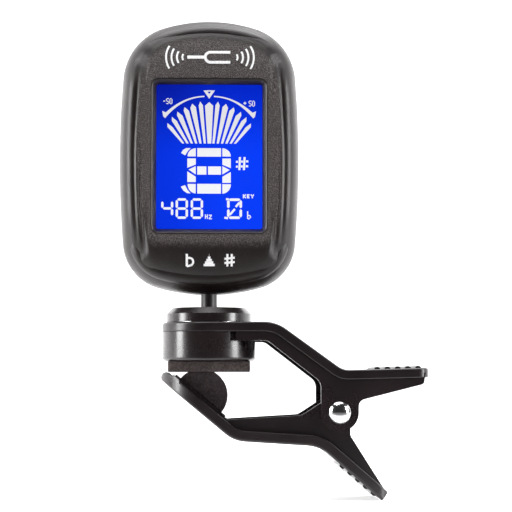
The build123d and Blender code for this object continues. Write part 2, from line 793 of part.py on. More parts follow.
def rear_case():
    """Rear half of the case, with the openings for the cell cap, buttons and screws."""
    outer = slab(head_outline(), 0, rear_y)
    outer = fillet(outer.edges().group_by(Axis.Y)[-1], rear_edge)
    cavity = slab(head_outline(case_wall), -1, rear_inner)
    cavity = fillet(cavity.edges().group_by(Axis.Y)[-1], rear_cavity_edge)
    shell = outer - cavity
    inner_parts = stem_boss(0, stem_flange_radius + boss_wall)
    for x, z in screw_places():
        inner_parts += rod_y(boss_radius, 0, rear_inner + wall_overlap, x, z)
    for x in (-1, 1):
        for z in (frame_bottom + post_from_end, frame_top - post_from_end):
            inner_parts += rod_y(post_radius, board_back, rear_inner + wall_overlap,
                                 x * (board_half_width - post_inset), z)
    inner_parts += rod_y(cap_radius + 1.6, cap_ledge_y, rear_inner + wall_overlap, 0, cell_z)
    shell += inner_parts & slab(head_outline(), board_back, rear_y)
    shell -= cap_opening()
    for x in (-button_pitch, 0, button_pitch):
        shell -= rod_y(button_radius + loose_fit, 0, rear_y + 1, x, button_z)
    shell -= stem_cavity()
    for x, z in screw_places():
        shell -= rod_y(screw_radius + screw_clearance, -1, rear_y + 1, x, z)
        shell -= rod_y(screw_head_radius + loose_fit, rear_y - screw_head_height - screw_recess, rear_y + 1, x, z)
    return shell - parting_groove(1)


# Cell cap
def lug_sector(radius, angle, centre_angle, y_from, y_to):
    """Sector of a disc about the cell's axis."""
    spread = radians(angle / 2)
    middle = radians(centre_angle)
    reach = radius / cos(spread)
    corners = [(0, 0)]
    for turn in (middle - spread, middle + spread):
        corners.append((reach * cos(turn), reach * sin(turn)))
    wedge = Pos(0, cell_z) * make_face(Polyline(*corners, close=True))
    return slab(wedge, y_from, y_to) & rod_y(radius, y_from, y_to, 0, cell_z)


def cap_opening():
    """Stepped hole for the cell cap, with two notches for its lugs."""
    ledge_hole = cap_hub_outer + loose_fit
    hole = rod_y(cap_radius + loose_fit, cap_flange_y - assembly_gap, rear_y + 1, 0, cell_z)
    hole += rod_y(ledge_hole, cap_ledge_y - 1, rear_y, 0, cell_z)
    for side in (0, 180):
        hole += lug_sector(ledge_hole + ledge_width * 0.7, lug_angle + 6, cap_turn + side,
                           cap_ledge_y - 1, cap_flange_y)
    return hole


def battery_cap():
    """Round cell cap: flange, hub with two lugs, and a coin slot."""
    cap = rod_y(cap_radius, cap_flange_y, rear_y - cap_sink, 0, cell_z)
    lug_y = cap_ledge_y - assembly_gap
    hub = rod_y(cap_hub_outer, lug_y - lug_height, cap_flange_y, 0, cell_z)
    hub -= rod_y(cap_hub_inner, lug_y - lug_height - 1, cap_flange_y, 0, cell_z)
    lug_radius = cap_hub_outer + ledge_width * 0.6
    for side in (0, 180):
        lug = lug_sector(lug_radius, lug_angle, side, lug_y - lug_height, lug_y)
        hub += lug - rod_y(cap_hub_inner, lug_y - 9, lug_y + 9, 0, cell_z)
    slot = block(-coin_slot_length / 2, coin_slot_length / 2, rear_y - coin_slot_depth, rear_y + 1,
                 cell_z - coin_slot_width / 2, cell_z + coin_slot_width / 2)
    return cap + hub - slot


def coin_cell():
    """CR2032 cell: can with a smaller negative button."""
    can = rod_y(cell_radius, cell_front + 0.4, cell_back, 0, cell_z)
    can = fillet(can.edges().filter_by(GeomType.CIRCLE).group_by(Axis.Y)[-1], 0.3)
    return can + rod_y(cell_radius - 1.2, cell_front, cell_front + 0.4, 0, cell_z)


def negative_contact():
    """Spring strip between the board and the cell's button."""
    rise = cell_front - contact_gap
    half = contact_width / 2
    foot = block(-half, half, board_back, board_back + contact_strip, cell_z - 6, cell_z - 3)
    far_foot = block(-half, half, board_back, board_back + contact_strip, cell_z + 3, cell_z + 6)
    bridge = block(-half, half, rise - contact_strip, rise, cell_z - 3, cell_z + 3)
    side = block(-half, half, board_back, rise, cell_z - 3 - contact_strip, cell_z - 3)
    far_side = block(-half, half, board_back, rise, cell_z + 3, cell_z + 3 + contact_strip)
    return bridge + side + far_side + foot + far_foot


def positive_contact():
    """Bent strip against the side of the cell's can."""
    inner = cell_radius + contact_gap
    top = cap_ledge_y - assembly_gap - lug_height - 0.2
    blade = block(inner, inner + contact_strip, board_back, top, cell_z - 2.5, cell_z + 2.5)
    foot = block(inner, inner + 2.4, board_back, board_back + contact_strip, cell_z - 2.5, cell_z + 2.5)
    return blade + foot


# Display stack
def display_window():
    """Clear window behind the opening."""
    return window_box(lens_margin, lens_front, lens_back, 1.0)


def lcd_panel():
    """Display glass with its contact ledge."""
    return block(-lcd_half_width, lcd_half_width, lcd_front, lcd_back, lcd_bottom, lcd_top)


def light_guide():
    """Light guide plate behind the display."""
    half = lcd_half_width - led_thickness - 2 * assembly_gap
    return block(-half, half, guide_front, guide_back, lcd_bottom + lcd_ledge, lcd_top)


def backlight_leds():
    """Side-firing lamps beside the light guide."""
    outer = lcd_half_width
    lamps = []
    for z in (window_z - 8, window_z + 8):
        lamps.append(block(outer - led_thickness, outer, guide_front, board_front,
                           z - led_length / 2, z + led_length / 2))
    return lamps[0] + lamps[1]


def lcd_frame():
    """Plastic frame that holds the display and light guide on the board."""
    outer = block(-frame_half_width, frame_half_width, lcd_front, board_front, frame_bottom, frame_top)
    half = lcd_half_width + assembly_gap
    return outer - block(-half, half, lcd_front - 1, board_front + 1,
                         lcd_bottom - assembly_gap, lcd_top + assembly_gap)


def contact_rubber():
    """Conductive rubber strip between the display's ledge and the board."""
    return block(-strip_length / 2, strip_length / 2, lcd_back, board_front,
                 lcd_bottom + 0.4, lcd_bottom + 0.4 + strip_width)


# Circuit board
def circuit_board():
    """Board behind the display."""
    face = Pos(0, (frame_bottom + frame_top) / 2) * RectangleRounded(
        2 * board_half_width, frame_top - frame_bottom + 2 * board_end_margin, 1.0)
    face = face & head_outline(case_wall + board_clearance)
    return slab(face, board_front, board_back)


def controller_chip():
    """Controller under a resin blob."""
    bottom = button_z + switch_size / 2 + chip_gap
    blob = block(-chip_width / 2, chip_width / 2, board_back, board_back + chip_height,
                 bottom, bottom + chip_length)
    return fillet(blob.faces().sort_by(Axis.Y)[-1].edges(), chip_edge)


def board_components():
    """Small parts soldered to the board."""
    width, height, length = component_size
    pieces = []
    for x in (-1, 1):
        for offset in component_offsets:
            z = cell_z + offset
            centre = x * (board_half_width - component_inset)
            pieces.append(block(centre - width / 2, centre + width / 2, board_back, board_back + height,
                                z - length / 2, z + length / 2))
    return pieces


def switch_places():
    """The three switch axes along X."""
    return (-button_pitch, 0, button_pitch)


def tact_switches():
    """Bodies of the three push switches."""
    bodies = []
    half = switch_size / 2
    for x in switch_places():
        body = block(x - half, x + half, board_back, board_back + switch_height,
                     button_z - half, button_z + half)
        bore = rod_y(plunger_radius + running_fit, board_back + 0.3, board_back + 9, x, button_z)
        bodies.append(body - bore)
    return bodies


def button(x):
    """Button cap, flush in the back, with a flange behind the wall and a post to its switch."""
    cap = rod_y(button_radius, rear_inner - assembly_gap - button_flange, rear_y - button_recess, x, button_z)
    cap = fillet(cap.edges().filter_by(GeomType.CIRCLE).group_by(Axis.Y)[-1], 0.25)
    flange_y = rear_inner - assembly_gap - button_flange
    flange = rod_y(button_radius + button_flange_rim, flange_y, flange_y + button_flange, x, button_z)
    post = rod_y(1.3, board_back + switch_height + 0.5, flange_y, x, button_z)
    return cap + flange + post


def plunger(x):
    """Plunger of a push switch, which moves with the button."""
    bottom = board_back + 0.3 + button_travel + 0.1
    return rod_y(plunger_radius, bottom, board_back + switch_height + 0.5, x, button_z)


def case_screws():
    """Four countersunk screws from the back into the front half."""
    screws = []
    head_face = rear_y - 0.4
    for x, z in screw_places():
        screw = rod_y(screw_head_radius, head_face - screw_head_height, head_face, x, z)
        screw += rod_y(screw_radius, head_face + screw_head_height - screw_length, head_face, x, z)
        for turn in (0, 90):
            slot = Pos(x, head_face, z) * Rot(0, turn, 0) * Box(2.0, 0.7, 0.4)
            screw -= slot
        screws.append(screw)
    return screws


def build_all():
    """Every node by name."""
    return {
        "upper_jaw": upper_jaw(), "sensor_cup": sensor_cup(), "headstock_pad": headstock_pad(),
        "piezo_plate": piezo_plate(), "piezo_ceramic": piezo_ceramic(), "sensor_lead": sensor_lead(),
        "friction_washer": friction_washer(), "pivot_pin": pivot_pin(), "pin_cap": pin_cap(),
        "torsion_spring": torsion_spring(),
        "lower_jaw": lower_jaw(), "pad_carrier": pad_carrier(), "grip_pad": grip_pad(),
        "swivel_collar": swivel_collar(), "seat_upper": seat_upper(), "seat_lower": seat_lower(),
        "seat_ring": seat_ring(), "swivel_clip": swivel_clip(),
        "ball_stem": ball_stem(), "stem_lead": stem_lead(),
        "front_case": front_case(), "rear_case": rear_case(), "display_window": display_window(),
        "lcd_panel": lcd_panel(), "light_guide": light_guide(), "backlight_leds": backlight_leds(),
        "lcd_frame": lcd_frame(), "contact_rubber": contact_rubber(),
        "circuit_board": circuit_board(), "controller_chip": controller_chip(),
        "board_components": board_components(), "tact_switches": tact_switches(),
        "coin_cell": coin_cell(), "negative_contact": negative_contact(),
        "positive_contact": positive_contact(), "battery_cap": battery_cap(),
        "case_screws": case_screws(),
        "power_button": button(0), "power_plunger": plunger(0),
        "down_button": button(-button_pitch), "down_plunger": plunger(-button_pitch),
        "up_button": button(button_pitch), "up_plunger": plunger(button_pitch),
    }


os.makedirs("parts", exist_ok=True)
for name, shape in build_all().items():
    pieces = shape if isinstance(shape, list) else [shape]
    solids = [solid for piece in pieces for solid in piece.solids()]
    export_step(solids[0] if len(solids) == 1 else Compound(solids), f"parts/{name}.step")
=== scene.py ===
import bpy
import math
import numpy as np
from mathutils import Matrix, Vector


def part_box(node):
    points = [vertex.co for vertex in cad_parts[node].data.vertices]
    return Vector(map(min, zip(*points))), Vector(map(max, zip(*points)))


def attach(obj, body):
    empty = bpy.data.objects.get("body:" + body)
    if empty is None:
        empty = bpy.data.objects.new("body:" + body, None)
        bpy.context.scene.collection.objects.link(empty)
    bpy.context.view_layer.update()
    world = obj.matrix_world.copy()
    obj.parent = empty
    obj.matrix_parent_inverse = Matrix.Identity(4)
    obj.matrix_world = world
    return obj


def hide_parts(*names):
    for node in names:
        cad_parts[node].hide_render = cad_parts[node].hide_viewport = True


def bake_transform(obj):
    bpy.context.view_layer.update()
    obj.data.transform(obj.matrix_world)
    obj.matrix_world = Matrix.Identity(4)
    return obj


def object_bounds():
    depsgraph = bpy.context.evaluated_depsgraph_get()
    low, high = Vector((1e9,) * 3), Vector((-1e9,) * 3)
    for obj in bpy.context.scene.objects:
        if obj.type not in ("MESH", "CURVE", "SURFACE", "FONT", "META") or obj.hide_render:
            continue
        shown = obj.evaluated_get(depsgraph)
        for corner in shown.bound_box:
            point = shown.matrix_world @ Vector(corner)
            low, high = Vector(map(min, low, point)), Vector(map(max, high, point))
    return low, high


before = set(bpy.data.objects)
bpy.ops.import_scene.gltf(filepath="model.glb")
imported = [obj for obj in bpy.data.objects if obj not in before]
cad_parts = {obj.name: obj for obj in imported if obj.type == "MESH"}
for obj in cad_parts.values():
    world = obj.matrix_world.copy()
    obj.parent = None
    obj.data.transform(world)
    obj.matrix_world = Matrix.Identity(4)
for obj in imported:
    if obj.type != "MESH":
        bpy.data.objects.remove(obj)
start_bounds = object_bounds()


# Front case. The front half of the display's shell, injection moulded in black plastic with a
# fine spark-eroded texture. A rolled rim falls to a valley, and a raised island frames the
# bevelled window. The shell is closed behind its face by a thin lining. Its textured parts are
# painted grey with light specks: a painted sheen and painted glints over the real grain.
class Maths:
    """A number socket that can be added, multiplied and so on like a number."""

    def __init__(self, tree, socket):
        self.tree, self.socket = tree, socket

    def _node(self, operation, *values):
        node = self.tree.nodes.new("ShaderNodeMath")
        node.operation = operation
        for place, value in enumerate(values):
            plug(self.tree, node.inputs[place], value)
        return Maths(self.tree, node.outputs[0])

    def __add__(self, other):
        return self._node("ADD", self, other)

    def __sub__(self, other):
        return self._node("SUBTRACT", self, other)

    def __mul__(self, other):
        return self._node("MULTIPLY", self, other)

    def __rsub__(self, other):
        return self._node("SUBTRACT", other, self)

    __radd__ = __add__
    __rmul__ = __mul__

    def over(self, low, high):
        """0 at low, 1 at high, smooth between."""
        node = self.tree.nodes.new("ShaderNodeMapRange")
        node.interpolation_type = "SMOOTHSTEP"
        for name, value in (("Value", self), ("From Min", low), ("From Max", high)):
            plug(self.tree, node.inputs[name], value)
        return Maths(self.tree, node.outputs["Result"])


def plug(tree, socket, value):
    """Links a socket to a Maths value or another socket, or sets it to a constant."""
    if isinstance(value, Maths):
        tree.links.new(value.socket, socket)
    elif isinstance(value, bpy.types.NodeSocket):
        tree.links.new(value, socket)
    else:
        socket.default_value = value


class Paint:
    """One procedural material: a Principled shader and the nodes that feed it."""

    def __init__(self, name, **shader):
        self.material = bpy.data.materials.new(name)
        self.material.use_nodes = True
        self.tree = self.material.node_tree
        self.shader = self.tree.nodes["Principled BSDF"]
        self.set(**shader)
        self.place = self.node("ShaderNodeTexCoord").outputs["Object"]

    def set(self, **values):
        for name, value in values.items():
            plug(self.tree, self.shader.inputs[name.replace("_", " ")], value)
        return self

    def node(self, kind, settings=None, **values):
        """A node of any kind, with its settings and its input values."""
        node = self.tree.nodes.new(kind)
        for name, value in (settings or {}).items():
            setattr(node, name, value)
        for name, value in values.items():
            plug(self.tree, node.inputs[name.replace("_", " ")], value)
        return node

    def noise(self, scale, detail=2.0, rough=0.5):
        node = self.node("ShaderNodeTexNoise", Vector=self.place, Scale=scale, Detail=detail,
                         Roughness=rough)
        return Maths(self.tree, node.outputs["Fac"])

    def axis(self, name, source=None):
        node = self.node("ShaderNodeSeparateXYZ", Vector=source or self.place)
        return Maths(self.tree, node.outputs[name])

    def attribute(self, name):
        node = self.node("ShaderNodeAttribute", {"attribute_name": name})
        return Maths(self.tree, node.outputs["Fac"])

    def mix(self, factor, first, second):
        node = self.node("ShaderNodeMix", {"data_type": "RGBA"})
        plug(self.tree, node.inputs[0], factor)
        plug(self.tree, node.inputs[6], first)
        plug(self.tree, node.inputs[7], second)
        return node.outputs[2]

    def bump(self, height, strength, distance):
        node = self.node("ShaderNodeBump", Height=height, Strength=strength, Distance=distance)
        plug(self.tree, self.shader.inputs["Normal"], node.outputs["Normal"])
        return self

    def edges(self, low=0.52, high=0.62):
        """1 on sharp outside edges, where handling has rubbed the surface."""
        node = self.node("ShaderNodeNewGeometry")
        return Maths(self.tree, node.outputs["Pointiness"]).over(low, high)


def sRGB(red, green, blue):
    """A screen colour from 0 to 255 as a linear colour."""
    values = [channel / 255 for channel in (red, green, blue)]
    return tuple(v / 12.92 if v <= 0.04045 else ((v + 0.055) / 1.055) ** 2.4 for v in values) + (1.0,)


def rubbed(colour):
    """The lighter tone that a colour takes where it is rubbed."""
    return tuple(1.6 * channel for channel in colour[:3]) + (1.0,)


def moulded(name, dark, light, rough, grain, grain_depth, coat=0.0, grain_rough=0.08):
    """Moulded plastic: cloudy colour, an even fine grain, and edges rubbed slightly smoother."""
    paint = Paint(name, Specular_IOR_Level=0.5, Coat_Weight=coat, Coat_Roughness=0.12)
    cloud = paint.noise(110.0, 3.0)
    fine = paint.noise(grain, 2.0, 0.6)
    speck = fine.over(0.35, 0.68)
    worn = paint.edges()
    base = paint.mix(cloud.over(0.35, 0.65), dark, light)
    base = paint.mix(worn * 0.35, base, rubbed(light))
    paint.set(Base_Color=base, Roughness=rough + cloud * 0.06 - worn * 0.06 + speck * grain_rough)
    return paint.bump(fine, 0.55, grain_depth)


def finish_node(name, body, paint, smooth=True):
    """Puts a material on a part that keeps its own shape."""
    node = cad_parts[name]
    node.data.materials.clear()
    node.data.materials.append(paint.material)
    if smooth:
        node.data.shade_smooth()
    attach(node, body)
    return node


def mesh_piece(name, points, faces, body, paint, smooth=True):
    """A new piece from arrays of points and faces. It rides on a body, if one is given."""
    mesh = bpy.data.meshes.new(name)
    mesh.from_pydata(np.asarray(points, float).tolist(), [], [list(map(int, f)) for f in faces])
    mesh.validate()
    mesh.update()
    piece = bpy.data.objects.new(name, mesh)
    bpy.context.scene.collection.objects.link(piece)
    mesh.materials.append(paint.material)
    if smooth:
        mesh.shade_smooth()
    if body:
        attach(piece, body)
    return piece


def ring_faces(rings, count, closed_rings=False):
    """Quads between rings of points, each ring closed on itself; rings may close too."""
    last = rings if closed_rings else rings - 1
    row, column = np.meshgrid(np.arange(last), np.arange(count), indexing="ij")
    after, beside = (row + 1) % rings, (column + 1) % count
    quads = np.stack([row * count + column, row * count + beside,
                      after * count + beside, after * count + column], -1)
    return quads.reshape(-1, 4)


def closed_solid(rows):
    """Faces of stacked rings with a flat face over each end."""
    count = rows.shape[1]
    faces = ring_faces(len(rows), count).tolist()
    faces.append(list(range(count))[::-1])
    faces.append(list(range((len(rows) - 1) * count, len(rows) * count)))
    return rows.reshape(-1, 3), faces


def arc_radius(chord, bulge):
    """Radius of an arc: a quarter of the chord squared plus the bulge squared, over twice the
    bulge."""
    return (chord ** 2 / 4 + bulge ** 2) / (2 * bulge)


MM = 0.001
CASE_LO, CASE_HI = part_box("front_case")
HEAD_HALF = CASE_HI.x
HEAD_LOW = CASE_LO.z
HEAD_HIGH = CASE_HI.z
HEAD_FRONT = CASE_LO.y
SIDE_BULGE = 1.41 * MM
TOP_BULGE = 5.43 * MM
BOTTOM_BULGE = 4.32 * MM
TOP_CORNER = 12.85 * MM
BOTTOM_CORNER = 10.6 * MM


def corner_arc(first, second, radius, turns):
    """A circle of the given radius that touches two larger circles from inside: its centre lies
    at their radii less its own from both centres; turns picks the side."""
    (x0, z0, r0), (x1, z1, r1) = first, second
    a, b = r0 - radius, r1 - radius
    gap = math.hypot(x1 - x0, z1 - z0)
    along = (a * a - b * b + gap * gap) / (2 * gap)
    off = math.sqrt(a * a - along * along) * turns
    ux, uz = (x1 - x0) / gap, (z1 - z0) / gap
    return x0 + along * ux - off * uz, z0 + along * uz + off * ux


def case_outline(samples):
    """Front view of the case: four shallow arcs joined by tangent corner arcs. Returns evenly
    spaced points and outward directions, starting at the top middle and going clockwise."""
    side = HEAD_HALF - SIDE_BULGE
    low, high = HEAD_LOW + BOTTOM_BULGE, HEAD_HIGH - TOP_BULGE
    side_r = arc_radius(high - low, SIDE_BULGE)
    top_r, bottom_r = arc_radius(2 * side, TOP_BULGE), arc_radius(2 * side, BOTTOM_BULGE)
    right = (HEAD_HALF - side_r, (low + high) / 2, side_r)
    top = (0.0, HEAD_HIGH - top_r, top_r)
    bottom = (0.0, HEAD_LOW + bottom_r, bottom_r)
    tx, tz = max((corner_arc(top, right, TOP_CORNER, turn) for turn in (1, -1)), key=lambda c: c[1])
    bx, bz = min((corner_arc(bottom, right, BOTTOM_CORNER, turn) for turn in (1, -1)),
                 key=lambda c: c[1])

    def bearing(x, z, centre):
        return math.atan2(x - centre[0], z - centre[1])

    top_end = bearing(tx, tz, top)
    right_start = bearing(tx, tz, right)
    right_end = bearing(bx, bz, right)
    bottom_start = bearing(bx, bz, bottom)
    arcs = [(top, 0.0, top_end), ((tx, tz, TOP_CORNER), top_end, right_start),
            (right, right_start, right_end), ((bx, bz, BOTTOM_CORNER), right_end, bottom_start),
            (bottom, bottom_start, math.pi)]
    lengths = np.array([c[2] * (b - a) for c, a, b in arcs])
    ends = np.concatenate([[0.0], np.cumsum(lengths)])
    walk = np.linspace(0.0, ends[-1], samples // 2 + 1)
    part = np.clip(np.searchsorted(ends, walk, side="right") - 1, 0, len(arcs) - 1)
    table = np.array([[c[0], c[1], c[2], a] for c, a, b in arcs])[part]
    angle = table[:, 3] + (walk - ends[part]) / table[:, 2]
    outward = np.stack([np.sin(angle), np.cos(angle)], -1)
    half = table[:, :2] + table[:, 2:3] * outward
    flip = np.array([-1.0, 1.0])
    points = np.concatenate([half, half[-2:0:-1] * flip])
    normals = np.concatenate([outward, outward[-2:0:-1] * flip])
    return points, normals


WINDOW_LO, WINDOW_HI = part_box("display_window")
LENS_MARGIN = 1.5 * MM
WINDOW_X = WINDOW_HI.x - LENS_MARGIN
WINDOW_BOTTOM = WINDOW_LO.z + LENS_MARGIN
WINDOW_TOP = WINDOW_HI.z - LENS_MARGIN
WINDOW_MIDDLE = (WINDOW_BOTTOM + WINDOW_TOP) / 2


def window_ring(points, extra, corner):
    """The window's rounded rectangle, larger by extra: each outline point's direction from the
    window's middle meets the rectangle, and near a corner it moves onto the corner's arc."""
    half = np.array([WINDOW_X + extra, (WINDOW_TOP - WINDOW_BOTTOM) / 2 + extra])
    reach = np.stack([points[:, 0] / HEAD_HALF,
                      (points[:, 1] - WINDOW_MIDDLE) / (HEAD_HIGH - WINDOW_MIDDLE)], -1)
    edge = reach / np.abs(reach).max(1, keepdims=True) * half
    inner = np.clip(edge, corner - half, half - corner)
    out = edge - inner
    edge = inner + out / np.maximum(np.linalg.norm(out, axis=1, keepdims=True), 1e-12) * corner
    return edge + np.array([0.0, WINDOW_MIDDLE])


def smooth(low, high, value):
    """0 up to low and 1 from high, along three times the square less twice the cube."""
    t = np.clip((value - low) / (high - low), 0, 1)
    return t * t * (3 - 2 * t)


RIM_REACH = 3.3 * MM
RIM_START = -0.7 * MM
RIM_DROP = 0.4 * MM
GAP = 0.2 * MM
LIP = 1.15
LIP_CORNER = 1.75
RIDGE_HEIGHT = 0.2 * MM
RIDGE_PLACE = 0.6
RIDGE_WIDTH = 0.4
GROOVE_PLACE = 1.5
GROOVE_WIDTH = 0.5
WALL = 1.6


def case_surface(samples=720):
    """The front shell: rings from the parting plane over the rolled rim, a quarter of an ellipse,
    into the valley, up to the island and in to the window's lip, then back along the lining.
    Beside the window, heights are sums of smooth steps and bell curves in the distance from the
    rim; above and below it they are one long curve. Also returns, at each point, how much of the
    grain's grey and painted sheen the colour takes: more from the rim in, slower at the top and
    bottom, and below the window only near the lip, where light falls."""
    outline, outward = case_outline(samples)
    along = outline[:, 1]
    lower = smooth(36 * MM, 24 * MM, along)
    upper = smooth(62 * MM, 70 * MM, along)
    ends = lower + 0.8 * upper
    rim_y = HEAD_FRONT + RIM_DROP
    lip = window_ring(outline, LIP * MM, LIP_CORNER * MM)
    rim = outline - outward * RIM_REACH
    span = np.linalg.norm(lip - rim, axis=1)
    rings, grain = [], []

    def put(flat, y, grain_and_sheen=0.0):
        rings.append(np.stack([flat[:, 0], np.broadcast_to(y, along.shape), flat[:, 1]], -1))
        grain.append(np.broadcast_to(grain_and_sheen, along.shape))

    def inset(distance):
        return outline - outward * distance

    def dome(distance):
        """One long curve from the edge up to the window, used at the top and the bottom."""
        part = np.clip(distance / (RIM_REACH + span), 0, 1)
        return RIM_START + (HEAD_FRONT - RIM_START) * (1 - (1 - part) ** 2.4) ** 0.53

    for distance, y in ((GAP, 0.0), (GAP, -GAP), (0.02 * MM, -GAP), (0.0, -GAP - 0.05 * MM),
                        (0.0, RIM_START)):
        put(inset(distance), y)
    for turn in np.linspace(0.0, math.pi / 2, 19)[1:]:
        reach = RIM_REACH * (1 - math.cos(turn))
        side_y = RIM_START + (rim_y - RIM_START) * math.sin(turn)
        put(inset(reach), side_y + (dome(reach) - side_y) * ends)
    low_side = smooth(60 * MM, 46 * MM, along) * smooth(22.5 * MM, 29 * MM, along)
    straight = (1.2 + 5 * ends) * MM
    for step in np.linspace(0, 1, 42)[1:-1]:
        turn = smooth(0.0, 0.6, step)
        flat = inset((RIM_REACH + np.minimum(step * span, straight))[:, None]) * (1 - turn)
        flat = flat + (rim + (lip - rim) * step) * turn
        d = step * span / MM
        y = rim_y + (HEAD_FRONT - rim_y) * smooth(0.1, 1.15, d)
        y = y - RIDGE_HEIGHT * low_side * np.exp(-((d - RIDGE_PLACE) / RIDGE_WIDTH) ** 2)
        y = y + RIDGE_HEIGHT * low_side * np.exp(-((d - GROOVE_PLACE) / GROOVE_WIDTH) ** 2)
        y = y + (dome(RIM_REACH + step * span) - y) * ends
        # Painted sheen: the grain's grey rises from the rim in, and below the window stays only near the
        # lit lip.
        grain_and_sheen = smooth(0.3, 1.3 + 2.5 * ends, d)
        grain_and_sheen = grain_and_sheen * (1 - 0.95 * lower * smooth(0.6, 3.8, (1 - step) * span / MM))
        put(flat, np.maximum(y, HEAD_FRONT), grain_and_sheen)
    lens_front = WINDOW_LO.y
    for extra, corner, y in ((LIP, LIP_CORNER, HEAD_FRONT), (0.98, 1.58, HEAD_FRONT + 0.05 * MM),
                             (0.82, 1.42, HEAD_FRONT + 0.2 * MM), (0.3, 0.9, HEAD_FRONT + 0.95 * MM),
                             (0.05, 0.65, lens_front - 0.3 * MM), (0.0, 0.6, lens_front - 0.15 * MM),
                             (0.0, 0.6, lens_front - 0.02 * MM), (0.9, 1.5, lens_front - 0.02 * MM)):
        put(window_ring(outline, extra * MM, corner * MM), y)
    for distance, y in ((3.4, lens_front + 0.05 * MM), (2.2, lens_front + 0.5 * MM),
                        (WALL, lens_front + 1.4 * MM), (WALL, 0.0)):
        put(inset(distance * MM), y)
    return np.array(rings), np.array(grain)


rings, grain = case_surface()
count = rings.shape[1]
case_faces = ring_faces(len(rings), count, closed_rings=True)
CASE_DARK = sRGB(20, 12, 13)
CASE_LIGHT = sRGB(27, 19, 19)
GRAIN_SHEEN_GREY = sRGB(48, 39, 39)
PAINTED_GLINT = sRGB(104, 96, 94)
case_paint = Paint("case_plastic", Specular_IOR_Level=0.42, Coat_Roughness=0.12)
grain_and_sheen = case_paint.attribute("grain")
spark = case_paint.noise(4000.0, 1.5, 0.65)
base = case_paint.mix(case_paint.noise(110.0, 3.0).over(0.35, 0.65), CASE_DARK, CASE_LIGHT)
base = case_paint.mix(case_paint.edges() * 0.35, base, rubbed(CASE_LIGHT))
# Painted sheen and glints: the textured parts turn grey, with light specks where the grain would catch
# light.
base = case_paint.mix(grain_and_sheen * 0.55, base, GRAIN_SHEEN_GREY)
base = case_paint.mix(spark.over(0.45, 0.66) * grain_and_sheen * 0.7, base, PAINTED_GLINT)
case_paint.set(Base_Color=base, Roughness=0.34 + grain_and_sheen * 0.16 + spark * 0.08)
case_paint.bump(spark, 0.2 + grain_and_sheen * 0.8, 0.0003)
front_piece = mesh_piece("front_case_shell", rings.reshape(-1, 3), case_faces, "head",
                         case_paint)
grain_layer = front_piece.data.attributes.new("grain", "FLOAT", "POINT")
grain_layer.data.foreach_set("value", grain.astype(np.float32).ravel())
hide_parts("front_case")

# Rear case. The back half of the shell, moulded in the same plastic, with the openings for the
# cell cap, the buttons and the screws.
finish_node("rear_case", "head", case_paint)

# Window. Clear acrylic sheet with rounded corners, let into the bevelled opening from behind
# and bonded round its edge. It carries faint wiping marks.
window_paint = Paint("window_acrylic", Base_Color=(0.01, 0.01, 0.02, 1.0), IOR=1.45)
smear = window_paint.noise(90.0, 3.0)
window_paint.set(Roughness=0.03 + smear * 0.04, Alpha=0.012 + smear * 0.012)
window_paint.bump(smear, 0.05, 0.0001)
finish_node("display_window", "head", window_paint, smooth=False)

# Display. A blue negative liquid-crystal panel, lit from its right-hand side, so the blue is
# deeper at the top left.
LCD_LO, LCD_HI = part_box("lcd_panel")
lcd_paint = Paint("lcd_blue", Specular_IOR_Level=0.1)
across = (lcd_paint.axis("X") - LCD_LO.x) * (1 / (LCD_HI.x - LCD_LO.x))
up = (lcd_paint.axis("Z") - LCD_LO.z) * (1 / (LCD_HI.z - LCD_LO.z))
dim = up.over(0.5, 1.0)
side_dim = across.over(0.75, 0.0)
low_blue = lcd_paint.mix(side_dim, sRGB(7, 62, 252), sRGB(4, 50, 225))
high_blue = lcd_paint.mix(side_dim, sRGB(2, 37, 200), sRGB(5, 23, 150))
blue = lcd_paint.mix(dim, low_blue, high_blue)
dots = lcd_paint.noise(2600.0, 1.0)
blue = lcd_paint.mix(dots * 0.06, blue, sRGB(20, 70, 250))
lcd_paint.set(Base_Color=(0.0, 0.0, 0.02, 1.0), Emission_Color=blue, Emission_Strength=1.0)
lcd_paint.set(Roughness=0.3 + dots * 0.1)
finish_node("lcd_panel", "head", lcd_paint, smooth=False)

# Display segments. The panel's white parts: pointer, arc, fan of bars, large note, sharp and flat
# signs and the small figures. They are thin films between the glass and the window.
def stroke(points, width):
    """A bar of constant width along a line: its four or more corners, in order."""
    points = np.asarray(points, float)
    step = np.gradient(points, axis=0)
    step /= np.maximum(np.linalg.norm(step, axis=1, keepdims=True), 1e-9)
    side = np.stack([-step[:, 1], step[:, 0]], -1) * width / 2
    return np.concatenate([points + side, (points - side)[::-1]])


def flipped(shape):
    """The same shape on the other side of the middle line."""
    return (np.asarray(shape, float) * np.array([-1.0, 1.0]))[::-1]


def prisms(shapes, y_front, y_back):
    """Each closed outline becomes a flat slab: the outline in front, again behind, and quads
    between."""
    points, faces, start = [], [], 0
    for shape in shapes:
        shape = np.asarray(shape, float)
        turn = np.sum(shape[:, 0] * np.roll(shape[:, 1], -1) - np.roll(shape[:, 0], -1) * shape[:, 1])
        shape = shape if turn > 0 else shape[::-1]
        size = len(shape)
        for y in (y_front, y_back):
            points.append(np.stack([shape[:, 0], np.full(size, y), shape[:, 1]], -1))
        index = np.arange(size)
        beside = (index + 1) % size
        faces.append(list(start + index))
        faces.append(list(start + size + index[::-1]))
        faces += (start + np.stack([beside, index, index + size, beside + size], -1)).tolist()
        start += 2 * size
    return np.concatenate(points), faces


